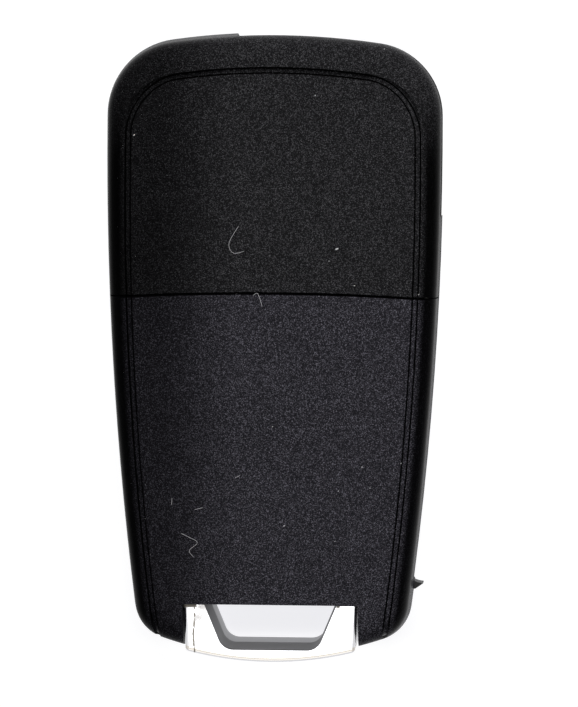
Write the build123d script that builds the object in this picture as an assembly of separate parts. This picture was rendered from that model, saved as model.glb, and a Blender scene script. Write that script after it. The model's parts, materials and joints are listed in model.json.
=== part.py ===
from build123d import *
import os
from collections import namedtuple
from math import radians, sqrt, tan

# A flip key remote lying on its front face. X runs across it, Y along it towards the blade's
# hub, Z from the front face, with the buttons, up to the rear face. Sizes are in millimetres.

# Housing
CASE_LENGTH = 78.0
CASE_HALF_WIDTH = 21.05
CASE_DEPTH = 16.0
WIDEST_FROM_TOP = 14.0
TOP_ARC_RADIUS = 90.0
SIDE_ARC_RADIUS = 447.0
BOTTOM_ARC_RADIUS = 42.0
TOP_CORNER_RADIUS = 9.5
BOTTOM_CORNER_RADIUS = 5.3
PARTING_Z = 8.6
DRAFT = 6.0
WALL = 1.6
CROWN_RADIUS = 1000.0
REAR_ROUND = 3.8
FRONT_ROUND = 3.2
LIP_HEIGHT = 0.8
LIP_THICKNESS = 0.7
FIT = 0.1

# Groove that borders the rear face, and the seam of the battery cover
GROOVE_FROM_TOP = 4.7
GROOVE_HALF_WIDTH = 17.9
GROOVE_WIDEST_FROM_TOP = 19.0
GROOVE_TOP_RADIUS = 85.0
GROOVE_SIDE_RADIUS = 420.0
GROOVE_CORNER_RADIUS = 6.0
GROOVE_WIDTH = 0.65
GROOVE_DEPTH = 0.35
SEAM_Y = 6.94
SEAM_RADIUS = 322.0
SEAM_GAP = 0.16
COVER_LEDGE_DEPTH = 5.0
COVER_LEDGE_THICKNESS = 1.2

# Key ring loop and its place in the housing
LOOP_LENGTH = 7.1
LOOP_HALF_WIDTH = 10.8
LOOP_END_HALF_WIDTH = 10.45
LOOP_HOLE_HALF_WIDTH = 8.0
LOOP_HOLE_SLANT = 22.6
LOOP_HOLE_CORNER = 1.8
LOOP_BAR = 1.7
LOOP_THICKNESS = 14.0
LOOP_EDGE = 0.5
LOOP_HOLE_DRAFT = 1.6
LOOP_ROOT_HALF_WIDTH = 9.8
LOOP_TONGUE_DEPTH = 5.2
LOOP_TONGUE_HALF_WIDTH = 6.9
LOOP_TONGUE_THICKNESS = 2.4
LOOP_SCREW_X = 4.8

# Blade hub and the pocket that it turns in
HUB_X = 8.0
HUB_FROM_TOP = 9.5
FOLD_TILT = 2.9
HUB_RADIUS = 8.5
HUB_LOW_Z = 5.6
HUB_THICKNESS = 6.0
ARM_OFFSET = 8.0
ARM_HALF_WIDTH = 4.5
ARM_LENGTH = 13.0
ARM_END_ROUND = 1.6
HUB_EDGE = 0.4
SHOULDER_ROUND = 9.0
POCKET_GAP = 0.25
POCKET_Z_GAP = 0.2
POCKET_WALL = 1.2
POCKET_FLOOR = 1.0
SLOT_END_GAP = 1.5
SPUR_REACH = 1.0
SPUR_HEIGHT = 1.4
SPUR_DEPTH = 3.0

# Blade
BLADE_WIDTH = 8.6
BLADE_THICKNESS = 3.0
BLADE_LENGTH = 43.9
BLADE_TIP_LENGTH = 4.2
BLADE_TIP_WIDTH = 2.4
BLADE_BEVEL = 0.35
TANG_WIDTH = 6.2
TANG_LENGTH = 8.0
TANG_FIT = 0.03
SLOT_Z_GAP = 0.3
TRACK_WIDTH = 3.4
TRACK_DEPTH = 0.9
TRACK_START = 7.0
TRACK_STEP = 4.0
TRACK_SHIFT = 0.45
TRACK_CODE = (1, -1, 0, 2, 1, -2, -1, 1, 0)
PIN_RADIUS = 0.8
PIN_WALL = 0.22
PIN_SLIT = 0.35
PIN_DEPTH_IN_ARM = 4.2

# Release button, its lock collar and the torsion spring
BUTTON_RADIUS = 5.1
BUTTON_SINK = 0.25
BUTTON_TOP_THICKNESS = 1.75
BUTTON_SKIRT_THICKNESS = 1.2
BUTTON_SKIRT_Z = 6.5
BUTTON_GAP = 0.2
BUTTON_TRAVEL = 1.8
LUG_REACH = 1.5
LUG_WIDTH = 2.4
LUG_ANGLES = (100.0, 190.0)
LUG_GAP = 0.15
COLLAR_WALL = 1.85
COLLAR_TOP_Z = 4.3
HUB_CUP_FLOOR = 2.1
POST_RADIUS = 1.9
POST_FIT = 0.05
POST_LOW_Z = 8.0
POST_SLOT = 0.8
WASHER_RADIUS = 2.75
WASHER_THICKNESS = 0.4
SPRING_RADIUS = 3.2
SPRING_WIRE = 0.7
SPRING_TURNS = 4.5

# Remote buttons, keypad mat and switches
CAP_WIDTH = 11.4
CAP_HEIGHT = 8.6
CAP_CORNER = 2.2
CAP_SPACING_X = 12.6
CAP_SPACING_Y = 9.8
CAP_CENTRE_Y = 3.6
CAP_SINK = 0.25
CAP_GAP = 0.15
CAP_FLANGE = 0.45
CAP_FLANGE_REACH = 0.4
CAP_EDGE = 0.3
MAT_THICKNESS = 0.7
MAT_MARGIN = 0.9
MAT_NUB_RADIUS = 1.5
MAT_NUB_HEIGHT = 0.3
SWITCH_SIZE = 4.4
SWITCH_HEIGHT = 0.65
SWITCH_PLUNGER_RADIUS = 1.0
SWITCH_PLUNGER_HEIGHT = 0.15
SWITCH_GAP = 0.05

# Circuit board and what is soldered to it
BOARD_THICKNESS = 0.8
BOARD_INSET = 2.8
BOARD_FROM_HUB = 15.6
BOARD_FROM_TONGUE = 0.5
BOARD_WING_WIDTH = 13.45
BOARD_WING_FROM_TOP = 12.0
BOARD_HOLE_GAP = 0.2
PEG_RADIUS = 1.3
PEG_PIN_RADIUS = 0.6
# Side of each peg, its distance from the housing's side, and from the loop's tongue or the housing's top
LOW_PEGS = ((-1, 6.05, 7.2), (1, 7.45, 4.2))
HIGH_PEGS = ((-1, 6.45, 15.0), (1, 5.55, 29.5))
CONTROLLER_SIZE = (5.0, 5.0, 0.9)
CONTROLLER_PLACE = (-4.5, -9.0)
RADIO_SIZE = (4.0, 4.0, 0.8)
RADIO_PLACE = (12.6, -2.5)
CRYSTAL_SIZE = (3.2, 2.5, 0.7)
CRYSTAL_PLACE = (12.9, -9.0)
COIL_SIZE = (8.0, 2.6, 2.4)
COIL_END_WIDTH = 1.2
COIL_X = -12.6
COIL_FROM_TOP = 21.0
PASSIVE_SIZE = (1.6, 0.8, 0.5)
PASSIVE_ROWS = 3
PASSIVE_COLUMNS = 2
PASSIVE_STEP = (2.8, 2.0)
PASSIVE_PLACE = (12.8, 3.4)

# Coin cell, its tray and contacts
CELL_RADIUS = 10.0
CELL_THICKNESS = 3.2
CELL_CAN_STEP = 0.6
CELL_RIM_HEIGHT = 0.5
CELL_X = -4.0
CELL_FROM_TONGUE = 16.7
CELL_LOW_Z = 8.9
TRAY_GAP = 0.25
TRAY_WALL = 1.1
TRAY_FLOOR = 0.8
TRAY_DROP = 0.45
TRAY_NOTCH_WIDTH = 6.0
TRAY_WINDOW_WIDTH = 7.0
STRIP_THICKNESS = 0.25
STRIP_WIDTH = 4.0
CLIP_REACH = 7.5
SPRING_LEAF_REACH = 5.5

# Screws
SCREW_RADIUS = 0.85
SCREW_HEAD_RADIUS = 1.6
SCREW_HEAD_HEIGHT = 0.9
SCREW_GAP = 0.1
SCREW_RECESS = 0.5
BOSS_RADIUS = 2.0
CASE_SCREW_FROM_SIDE = 5.85
CASE_SCREW_FROM_SEAM = 2.94
CASE_SCREW_LENGTH = 7.0
LOOP_SCREW_LENGTH = 4.5

# Places, heights and radii that follow from the sizes above
TOP_Y = CASE_LENGTH / 2
LOOP_TOP_Y = LOOP_LENGTH - TOP_Y
HUB_Y = TOP_Y - HUB_FROM_TOP
OPEN_ANGLE = 180.0 + FOLD_TILT
SLOT_END_Y = HUB_Y - ARM_LENGTH - BLADE_LENGTH - SLOT_END_GAP
CASE_SCREW_PLACE = (CASE_SCREW_FROM_SIDE - CASE_HALF_WIDTH, SEAM_Y - CASE_SCREW_FROM_SEAM)
HUB_HIGH_Z = HUB_LOW_Z + HUB_THICKNESS
HUB_MID_Z = HUB_LOW_Z + HUB_THICKNESS / 2
BLADE_LOW_Z = HUB_MID_Z - BLADE_THICKNESS / 2
BLADE_HIGH_Z = HUB_MID_Z + BLADE_THICKNESS / 2
POCKET_LOW_Z = HUB_LOW_Z - POCKET_Z_GAP
POCKET_HIGH_Z = HUB_HIGH_Z + POCKET_Z_GAP
SLOT_LOW_Z = BLADE_LOW_Z - SLOT_Z_GAP
SLOT_HIGH_Z = BLADE_HIGH_Z + SLOT_Z_GAP
ARM_OUTER = ARM_OFFSET + ARM_HALF_WIDTH
ARM_INNER = ARM_OFFSET - ARM_HALF_WIDTH
POCKET_RADIUS = ARM_OUTER + POCKET_GAP
SWEEP_RADIUS = sqrt(ARM_OUTER**2 + ARM_LENGTH**2) + POCKET_GAP
CUP_RADIUS = BUTTON_RADIUS + BUTTON_GAP
LUG_RADIUS = BUTTON_RADIUS + LUG_REACH
LUG_LOW_Z = COLLAR_TOP_Z + LUG_GAP
KEYWAY_RADIUS = LUG_RADIUS + POCKET_GAP
CUP_FLOOR_Z = HUB_HIGH_Z - HUB_CUP_FLOOR
LUG_HIGH_Z = CUP_FLOOR_Z - BUTTON_TRAVEL - 2 * LUG_GAP
CAP_FLANGE_LOW_Z = WALL + FIT / 2
MAT_LOW_Z = CAP_FLANGE_LOW_Z + CAP_FLANGE
MAT_HIGH_Z = MAT_LOW_Z + MAT_THICKNESS
PLUNGER_LOW_Z = MAT_HIGH_Z + MAT_NUB_HEIGHT + SWITCH_GAP
SWITCH_LOW_Z = PLUNGER_LOW_Z + SWITCH_PLUNGER_HEIGHT
BOARD_LOW_Z = SWITCH_LOW_Z + SWITCH_HEIGHT
BOARD_HIGH_Z = BOARD_LOW_Z + BOARD_THICKNESS
CELL_HIGH_Z = CELL_LOW_Z + CELL_THICKNESS
CLIP_HIGH_Z = CELL_HIGH_Z + STRIP_THICKNESS
TRAY_RADIUS = CELL_RADIUS + TRAY_GAP + TRAY_WALL
TRAY_FLOOR_HIGH_Z = CELL_LOW_Z - STRIP_THICKNESS - FIT
TRAY_FLOOR_LOW_Z = TRAY_FLOOR_HIGH_Z - TRAY_FLOOR
TRAY_HIGH_Z = CELL_HIGH_Z - TRAY_DROP
LOOP_LOW_Z = (CASE_DEPTH - LOOP_THICKNESS) / 2
LOOP_HIGH_Z = LOOP_LOW_Z + LOOP_THICKNESS
TONGUE_LOW_Z = PARTING_Z - LOOP_TONGUE_THICKNESS
TONGUE_Y = LOOP_TOP_Y + LOOP_TONGUE_DEPTH
CELL_Y = TONGUE_Y + CELL_FROM_TONGUE
PEG_PLACES = [(side * (CASE_HALF_WIDTH - inset), TONGUE_Y + above) for side, inset, above in LOW_PEGS]
PEG_PLACES += [(side * (CASE_HALF_WIDTH - inset), TOP_Y - below) for side, inset, below in HIGH_PEGS]
LOOP_WALL_Y = LOOP_TOP_Y + WALL
LOOP_SCREW_Y = LOOP_WALL_Y + SCREW_HEAD_RADIUS + 2 * FIT
LEDGE_HIGH_Z = CASE_DEPTH - WALL - 2 * FIT
LEDGE_LOW_Z = LEDGE_HIGH_Z - COVER_LEDGE_THICKNESS
CASE_SCREW_SEAT_Z = LEDGE_HIGH_Z - SCREW_HEAD_HEIGHT - SCREW_RECESS
CASE_BOSS_TOP_Z = CASE_SCREW_SEAT_Z - COVER_LEDGE_THICKNESS

Form = namedtuple(
    "Form",
    "top_y bottom_y half_width widest_y top_radius side_radius bottom_radius top_corner bottom_corner",
)
CASE_FORM = Form(
    TOP_Y,
    -TOP_Y,
    CASE_HALF_WIDTH,
    TOP_Y - WIDEST_FROM_TOP,
    TOP_ARC_RADIUS,
    SIDE_ARC_RADIUS,
    BOTTOM_ARC_RADIUS,
    TOP_CORNER_RADIUS,
    BOTTOM_CORNER_RADIUS,
)
# The groove's legs run out through the housing's lower edge, so its form closes below that.
GROOVE_FORM = Form(
    TOP_Y - GROOVE_FROM_TOP,
    -TOP_Y - GROOVE_CORNER_RADIUS,
    GROOVE_HALF_WIDTH,
    TOP_Y - GROOVE_WIDEST_FROM_TOP,
    GROOVE_TOP_RADIUS,
    GROOVE_SIDE_RADIUS,
    BOTTOM_ARC_RADIUS,
    GROOVE_CORNER_RADIUS,
    GROOVE_CORNER_RADIUS / 2,
)

UP = Vector(0, 0, 1)
# The hub's own frame when the blade is folded: X across the arm, -Y along the blade.
FOLDED = Location((HUB_X, HUB_Y, 0), (0, 0, -FOLD_TILT))
FAR = 2 * CASE_LENGTH


def prism(plan, low, high):
    """Solid over a plan, between two heights."""
    return Pos(0, 0, low) * extrude(plan, amount=high - low, dir=UP)


def block(left, right, bottom, top):
    """Rectangle given by its four sides."""
    centre = Pos((left + right) / 2, (bottom + top) / 2)
    return centre * Rectangle(right - left, top - bottom)


def round_block(left, right, bottom, top, radius):
    """Rectangle with rounded corners given by its four sides."""
    centre = Pos((left + right) / 2, (bottom + top) / 2)
    return centre * RectangleRounded(right - left, top - bottom, radius)


def slab(low, high):
    """Everything between two heights."""
    return prism(Rectangle(FAR, FAR), low, high)


def corner_centre(a, b, radius, side):
    """Centre of the arc that rounds the corner where circles a and b cross."""
    (a_mid, a_radius), (b_mid, b_radius) = a, b
    a_radius, b_radius = a_radius - radius, b_radius - radius
    across = b_mid - a_mid
    along = (a_radius**2 - b_radius**2 + across.length**2) / (2 * across.length)
    height = sqrt(a_radius**2 - along**2)
    foot = a_mid + across.normalized() * along
    square = Vector(-across.Y, across.X).normalized() * height
    return max((foot + square, foot - square), key=lambda point: side * point.Y)


def arc_about(middle, start, end):
    """Shorter arc about a centre."""
    bulge = ((start - middle) + (end - middle)).normalized() * (start - middle).length
    return ThreePointArc(start, middle + bulge, end)


def reach(middle, radius, other):
    """Point of a circle that lies towards another point."""
    return middle + (other - middle).normalized() * radius


def outline(form, inset=0.0):
    """Closed outline of four long arcs joined by rounded corners, pulled in by an inset."""
    top = Vector(0, form.top_y - form.top_radius), form.top_radius
    side = Vector(form.half_width - form.side_radius, form.widest_y), form.side_radius
    bottom = Vector(0, form.bottom_y + form.bottom_radius), form.bottom_radius
    upper = corner_centre(top, side, form.top_corner, 1)
    lower = corner_centre(bottom, side, form.bottom_corner, -1)
    top_end = reach(top[0], top[1] - inset, upper)
    side_top = reach(side[0], side[1] - inset, upper)
    side_bottom = reach(side[0], side[1] - inset, lower)
    bottom_end = reach(bottom[0], bottom[1] - inset, lower)
    right = [
        arc_about(lower, bottom_end, side_bottom),
        arc_about(side[0], side_bottom, side_top),
        arc_about(upper, side_top, top_end),
    ]
    left = [mirror(edge, Plane.YZ) for edge in right]
    ends = [
        arc_about(top[0], top_end, Vector(-top_end.X, top_end.Y)),
        arc_about(bottom[0], Vector(-bottom_end.X, bottom_end.Y), bottom_end),
    ]
    face = make_face(right + left + ends).face()
    return face if face.normal_at().Z > 0 else -face


def under_crown(drop=0.0):
    """Everything below the rear face's gentle crown, or below a surface parallel to it."""
    radius = CROWN_RADIUS - drop
    end_z = CASE_DEPTH - CROWN_RADIUS + sqrt(radius**2 - CASE_LENGTH**2)
    crown = ThreePointArc((-CASE_LENGTH, end_z), (0, CASE_DEPTH - drop), (CASE_LENGTH, end_z))
    sides = Polyline((CASE_LENGTH, end_z), (CASE_LENGTH, 0), (-CASE_LENGTH, 0), (-CASE_LENGTH, end_z))
    return extrude(Plane.YZ * make_face([crown, sides]), amount=CASE_LENGTH, both=True)


def housing_form(inset=0.0):
    """Whole housing as one solid, or its hollow when pulled in by the wall."""
    plan = Pos(0, 0, PARTING_Z) * outline(CASE_FORM, inset)
    rear = extrude(plan, amount=CASE_DEPTH - PARTING_Z, taper=DRAFT) & under_crown(inset)
    rear = fillet(rear.faces().sort_by(Axis.Z)[-1].edges(), REAR_ROUND - inset)
    front = extrude(-plan, amount=PARTING_Z - inset, taper=DRAFT)
    front = fillet(front.faces().sort_by(Axis.Z)[0].edges(), FRONT_ROUND - inset)
    return rear + front


def pocket_plan(margin=0.0):
    """Plan of the space that the hub and its arm sweep, from folded to open."""
    centre = Location((HUB_X, HUB_Y, 0))
    sweep = centre * Circle(SWEEP_RADIUS + margin)
    opened = block(HUB_X - ARM_OUTER - POCKET_GAP - margin, FAR, HUB_Y, FAR)
    gap = POCKET_GAP + margin
    folded = FOLDED * block(ARM_INNER - gap, FAR, -ARM_LENGTH - gap, ARM_LENGTH)
    return centre * Circle(POCKET_RADIUS + margin) + (sweep & (opened + folded))


def slot_plan(margin=0.0):
    """Plan of the slot that the folded blade lies in, open at the housing's side."""
    edge = ARM_OFFSET - BLADE_WIDTH / 2 - POCKET_GAP - margin
    along = FOLDED * block(edge, FAR, -FAR, 0)
    return along & block(-FAR, FAR, SLOT_END_Y - margin, HUB_Y)


def loop_plan(margin=0.0):
    """Plan of the notch that the key ring loop fills."""
    return block(-LOOP_HALF_WIDTH - margin, LOOP_HALF_WIDTH + margin, -FAR, LOOP_TOP_Y + margin)


def housing():
    """Both halves of the housing in one, hollow, with the hub's pocket and the blade's slot."""
    solid = housing_form()
    body = solid - housing_form(WALL)
    inner_walls = prism(pocket_plan(POCKET_WALL), POCKET_LOW_Z - POCKET_FLOOR, POCKET_HIGH_Z + POCKET_FLOOR)
    inner_walls += prism(slot_plan(POCKET_WALL), SLOT_LOW_Z - POCKET_WALL, SLOT_HIGH_Z + POCKET_WALL)
    inner_walls += prism(loop_plan(WALL), 0, CASE_DEPTH)
    body += inner_walls & solid
    body -= prism(pocket_plan(), POCKET_LOW_Z, POCKET_HIGH_Z)
    body -= prism(slot_plan(), SLOT_LOW_Z, SLOT_HIGH_Z)
    body -= prism(loop_plan(FIT), 0, CASE_DEPTH)
    root = LOOP_ROOT_HALF_WIDTH + FIT
    root_slot = block(-root, root, LOOP_TOP_Y, LOOP_WALL_Y + FIT)
    return body - prism(root_slot, TONGUE_LOW_Z - FIT, PARTING_Z + FIT)


def lip_ring(gap=0.0):
    """Ring that locates the halves, left out where the slot and the loop break the wall."""
    inner = outline(CASE_FORM, WALL + FIT)
    ring = outline(CASE_FORM, WALL - LIP_THICKNESS - gap) - inner
    ring -= pocket_plan(POCKET_WALL) + slot_plan(POCKET_WALL) + loop_plan(WALL)
    return prism(ring, PARTING_Z - LIP_HEIGHT / 2, PARTING_Z + LIP_HEIGHT)


def seam_plan(gap):
    """Plan of everything on the loop's side of the curved seam."""
    return Pos(0, SEAM_Y - SEAM_RADIUS) * Circle(SEAM_RADIUS - gap)


def cap_places():
    """Centres of the four remote buttons, row by row from the hub's end."""
    rows = (CAP_CENTRE_Y + CAP_SPACING_Y / 2, CAP_CENTRE_Y - CAP_SPACING_Y / 2)
    columns = (CAP_SPACING_X / 2, -CAP_SPACING_X / 2)
    return [(x, y) for y in rows for x in columns]


def lug_plan(radius, width, angles):
    """Plan of lugs or keyways that reach out from the button's skirt."""
    arms = [
        Rot(0, 0, angle) * block(BUTTON_RADIUS - BUTTON_SKIRT_THICKNESS / 2, FAR, -width / 2, width / 2)
        for angle in angles
    ]
    return Sketch() + arms & Circle(radius)


def spur():
    """Small pointed lip on the housing's side, just below the slot's lower end."""
    beside = outline(CASE_FORM) & block(-FAR, FAR, SLOT_END_Y - SPUR_HEIGHT, SLOT_END_Y)
    side = beside.bounding_box().max.X
    root = side - WALL / 2
    tip = Vector(side + SPUR_REACH, SLOT_END_Y - SPUR_HEIGHT / 2)
    hollow = Vector(side, SLOT_END_Y - SPUR_HEIGHT / 3)
    upper = ThreePointArc(Vector(root, SLOT_END_Y), hollow, tip)
    lower = Polyline(tip, (side, SLOT_END_Y - SPUR_HEIGHT), (root, SLOT_END_Y - SPUR_HEIGHT), upper @ 0)
    return prism(make_face([upper, lower]), PARTING_Z - SPUR_DEPTH, PARTING_Z)


def front_shell(body):
    """Front half with the button holes, lock collar, board pegs and screw bosses."""
    hub = Pos(HUB_X, HUB_Y)
    shell = (body & slab(0, PARTING_Z)) + spur()
    shell += lip_ring() & slab(PARTING_Z - LIP_HEIGHT, PARTING_Z + LIP_HEIGHT)
    shell += hub * prism(Circle(CUP_RADIUS + COLLAR_WALL + LUG_REACH), WALL, POCKET_LOW_Z) & housing_form()
    turned = [angle + OPEN_ANGLE for angle in LUG_ANGLES]
    notches = lug_plan(KEYWAY_RADIUS, LUG_WIDTH + 2 * POCKET_GAP, (*LUG_ANGLES, *turned))
    shell -= hub * prism(notches, WALL, COLLAR_TOP_Z)
    shell -= hub * prism(Circle(KEYWAY_RADIUS), COLLAR_TOP_Z, POCKET_LOW_Z)
    shell -= hub * prism(Circle(CUP_RADIUS), 0, POCKET_LOW_Z)
    for x, y in PEG_PLACES:
        shell += Pos(x, y) * prism(Circle(PEG_RADIUS), WALL / 2, BOARD_LOW_Z)
        shell += Pos(x, y) * prism(Circle(PEG_PIN_RADIUS), WALL, BOARD_HIGH_Z)
    shell += Pos(*CASE_SCREW_PLACE) * prism(Circle(BOSS_RADIUS), WALL / 2, CASE_BOSS_TOP_Z)
    shell -= Pos(*CASE_SCREW_PLACE) * screw(CASE_SCREW_SEAT_Z, CASE_SCREW_LENGTH, SCREW_GAP / 2)
    for side in (-1, 1):
        place = Pos(side * LOOP_SCREW_X, LOOP_SCREW_Y)
        shell += place * prism(Circle(BOSS_RADIUS), WALL / 2, TONGUE_LOW_Z)
        shell -= place * screw(PARTING_Z, LOOP_SCREW_LENGTH, SCREW_GAP / 2)
    hole = RectangleRounded(CAP_WIDTH + 2 * CAP_GAP, CAP_HEIGHT + 2 * CAP_GAP, CAP_CORNER)
    for x, y in cap_places():
        shell -= Pos(x, y) * prism(hole, 0, WALL)
    return shell


def rear_half(body):
    """Rear half of the housing with its border groove, before the seam parts it in two."""
    half = body & slab(PARTING_Z, CASE_DEPTH)
    half -= lip_ring(FIT)
    band = outline(GROOVE_FORM, -GROOVE_WIDTH / 2) - outline(GROOVE_FORM, GROOVE_WIDTH / 2)
    return half - (prism(band, PARTING_Z, CASE_DEPTH) - housing_form(GROOVE_DEPTH))


def rear_shell(half):
    """Upper rear part: the hub's post and the ledge that the battery cover lies on."""
    shell = half - prism(seam_plan(-SEAM_GAP / 2), 0, CASE_DEPTH)
    inside = outline(CASE_FORM, WALL + REAR_ROUND / 2)
    web = inside & block(-FAR, FAR, SEAM_Y + SEAM_GAP, SEAM_Y + WALL)
    shelf = inside & block(-FAR, FAR, SEAM_Y - COVER_LEDGE_DEPTH, SEAM_Y + WALL)
    shelf -= slot_plan(POCKET_WALL + POCKET_GAP) & block(-FAR, FAR, -FAR, SEAM_Y + SEAM_GAP)
    ledge = prism(shelf, LEDGE_LOW_Z, LEDGE_HIGH_Z) + prism(web, LEDGE_LOW_Z, CASE_DEPTH - FIT)
    screw_place = Pos(*CASE_SCREW_PLACE)
    ledge += screw_place * prism(Circle(BOSS_RADIUS), CASE_BOSS_TOP_Z, LEDGE_HIGH_Z)
    ledge -= screw_place * screw(CASE_SCREW_SEAT_Z, CASE_SCREW_LENGTH, SCREW_GAP, FAR)
    shell += ledge & under_crown(WALL / 2)
    hub = Pos(HUB_X, HUB_Y)
    post = prism(Circle(POST_RADIUS), POST_LOW_Z, CASE_DEPTH - WALL / 2)
    post -= prism(Rectangle(FAR, POST_SLOT), POST_LOW_Z, POST_LOW_Z + SPRING_WIRE + 2 * FIT)
    return shell + hub * post


def battery_cover(half):
    """Lower rear part, lifted off to change the cell."""
    cover = half & prism(seam_plan(SEAM_GAP / 2), 0, CASE_DEPTH)
    cell = Pos(CELL_X, CELL_Y)
    ribs = Sketch() + [Pos(x, 0) * Rectangle(WALL / 2, CELL_RADIUS) for x in (-CLIP_REACH, 0, CLIP_REACH)]
    return cover + cell * prism(ribs, CLIP_HIGH_Z + FIT, CASE_DEPTH - WALL / 2)


def key_ring_loop():
    """Plated U that fills the housing's lower edge, with a tongue that is screwed down inside."""
    half_width, end = LOOP_HALF_WIDTH, LOOP_END_HALF_WIDTH
    low_y = -TOP_Y
    shape = Polyline(
        (-half_width, LOOP_TOP_Y),
        (half_width, LOOP_TOP_Y),
        (end, low_y),
        (-end, low_y),
        close=True,
    )
    plan = make_face(shape) & outline(CASE_FORM)
    corners = plan.vertices().filter_by_position(Axis.Y, low_y, LOOP_TOP_Y - LOOP_BAR)
    plan = fillet(corners, LOOP_EDGE)
    ring = prism(plan, LOOP_LOW_Z, LOOP_HIGH_Z)
    rims = ring.edges().filter_by_position(Axis.Z, LOOP_HIGH_Z, LOOP_HIGH_Z)
    rims += ring.edges().filter_by_position(Axis.Z, LOOP_LOW_Z, LOOP_LOW_Z)
    ring = fillet(rims.filter_by(lambda edge: edge.center().Y < LOOP_TOP_Y - LOOP_EDGE), LOOP_EDGE)
    hole_low_y = low_y + LOOP_BAR
    hole_half = LOOP_HOLE_HALF_WIDTH - (LOOP_TOP_Y - hole_low_y) * tan(radians(LOOP_HOLE_SLANT))
    over = LOOP_HOLE_CORNER
    top_half = LOOP_HOLE_HALF_WIDTH + over * tan(radians(LOOP_HOLE_SLANT))
    hole = make_face(
        Polyline(
            (-top_half, LOOP_TOP_Y + over),
            (top_half, LOOP_TOP_Y + over),
            (hole_half, hole_low_y),
            (-hole_half, hole_low_y),
            close=True,
        )
    )
    hole = fillet(hole.vertices().sort_by(Axis.Y)[:2], LOOP_HOLE_CORNER)
    middle = Pos(0, 0, CASE_DEPTH / 2)
    half = LOOP_THICKNESS / 2
    face = middle * hole.face()
    up = face if face.normal_at().Z > 0 else -face
    ring -= extrude(up, amount=half, taper=-LOOP_HOLE_DRAFT)
    ring -= extrude(-up, amount=half, taper=-LOOP_HOLE_DRAFT)
    width, root = LOOP_TONGUE_HALF_WIDTH, LOOP_ROOT_HALF_WIDTH
    flat = round_block(-width, width, LOOP_TOP_Y, TONGUE_Y, LOOP_EDGE)
    flat += block(-root, root, LOOP_TOP_Y - LOOP_EDGE, LOOP_WALL_Y - FIT)
    flat -= block(-LOOP_HOLE_HALF_WIDTH, LOOP_HOLE_HALF_WIDTH, -FAR, LOOP_TOP_Y)
    tongue = prism(flat, TONGUE_LOW_Z, PARTING_Z)
    for side in (-1, 1):
        tongue -= Pos(side * LOOP_SCREW_X, LOOP_SCREW_Y) * screw(PARTING_Z, LOOP_SCREW_LENGTH, SCREW_GAP)
    return ring + tongue


def hub_plan():
    """Outline of the folded hub in its own frame: a disc, its shoulder and the arm."""
    plan = Circle(HUB_RADIUS) + block(0, ARM_OUTER, 0, HUB_RADIUS)
    plan += block(ARM_INNER, ARM_OUTER, -ARM_LENGTH, HUB_RADIUS)
    shoulder = plan.vertices().group_by(Axis.X)[-1].sort_by(Axis.Y)[-1]
    plan = fillet(shoulder, SHOULDER_ROUND)
    plan = fillet(plan.vertices().sort_by(Axis.Y)[:2], ARM_END_ROUND)
    armpit = Vertex(ARM_INNER, -sqrt(HUB_RADIUS**2 - ARM_INNER**2))
    return fillet(plan.vertices().sort_by_distance(armpit)[0], HUB_EDGE)


def blade_hub():
    """Moulded hub with the cup for the button and spring, and the socket for the blade's tang."""
    hub = prism(hub_plan(), HUB_LOW_Z, HUB_HIGH_Z)
    rims = hub.faces().sort_by(Axis.Z)
    hub = FOLDED * chamfer(rims[-1].edges() + rims[0].edges(), HUB_EDGE)
    centre = Pos(HUB_X, HUB_Y)
    hub -= centre * prism(Circle(CUP_RADIUS), HUB_LOW_Z, CUP_FLOOR_Z)
    keyways = lug_plan(KEYWAY_RADIUS, LUG_WIDTH + 2 * POCKET_GAP, LUG_ANGLES)
    hub -= centre * prism(keyways, HUB_LOW_Z, CUP_FLOOR_Z)
    hub -= centre * prism(Circle(POST_RADIUS + POST_FIT), CUP_FLOOR_Z, HUB_HIGH_Z)
    hub -= FOLDED * tang(TANG_FIT)
    hub -= FOLDED * pin_place() * prism(Circle(PIN_RADIUS), HUB_LOW_Z, HUB_HIGH_Z)
    return hub


def pin_place():
    """Place of the blade's pin in the folded hub's frame."""
    return Pos(ARM_OFFSET, -ARM_LENGTH + PIN_DEPTH_IN_ARM)


def tang(gap=0.0, join=0.0):
    """Narrow end of the blade that sits in the arm, or its socket with a gap."""
    half = TANG_WIDTH / 2 + gap
    root_y = -ARM_LENGTH - gap - join
    plan = block(ARM_OFFSET - half, ARM_OFFSET + half, root_y, -ARM_LENGTH + TANG_LENGTH + gap)
    return prism(plan, BLADE_LOW_Z - gap, BLADE_HIGH_Z + gap)


def track():
    """Milled wave along the middle of the blade's face, run out at the tip."""
    start = -ARM_LENGTH - TRACK_START
    points = [(ARM_OFFSET, start)]
    for place, step in enumerate(TRACK_CODE, 1):
        x = ARM_OFFSET + step * TRACK_SHIFT
        y = start - place * TRACK_STEP
        points += [(x, y + TRACK_STEP / 4), (x, y)]
    points.append((ARM_OFFSET, -ARM_LENGTH - BLADE_LENGTH - TRACK_WIDTH))
    cutter = Sketch()
    for (ax, ay), (bx, by) in zip(points, points[1:]):
        run = Vector(bx - ax, by - ay)
        turn = Vector(1, 0, 0).get_signed_angle(run)
        middle = Location(((ax + bx) / 2, (ay + by) / 2, 0), (0, 0, turn))
        cutter += middle * SlotCenterToCenter(run.length, TRACK_WIDTH)
    return cutter


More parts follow.
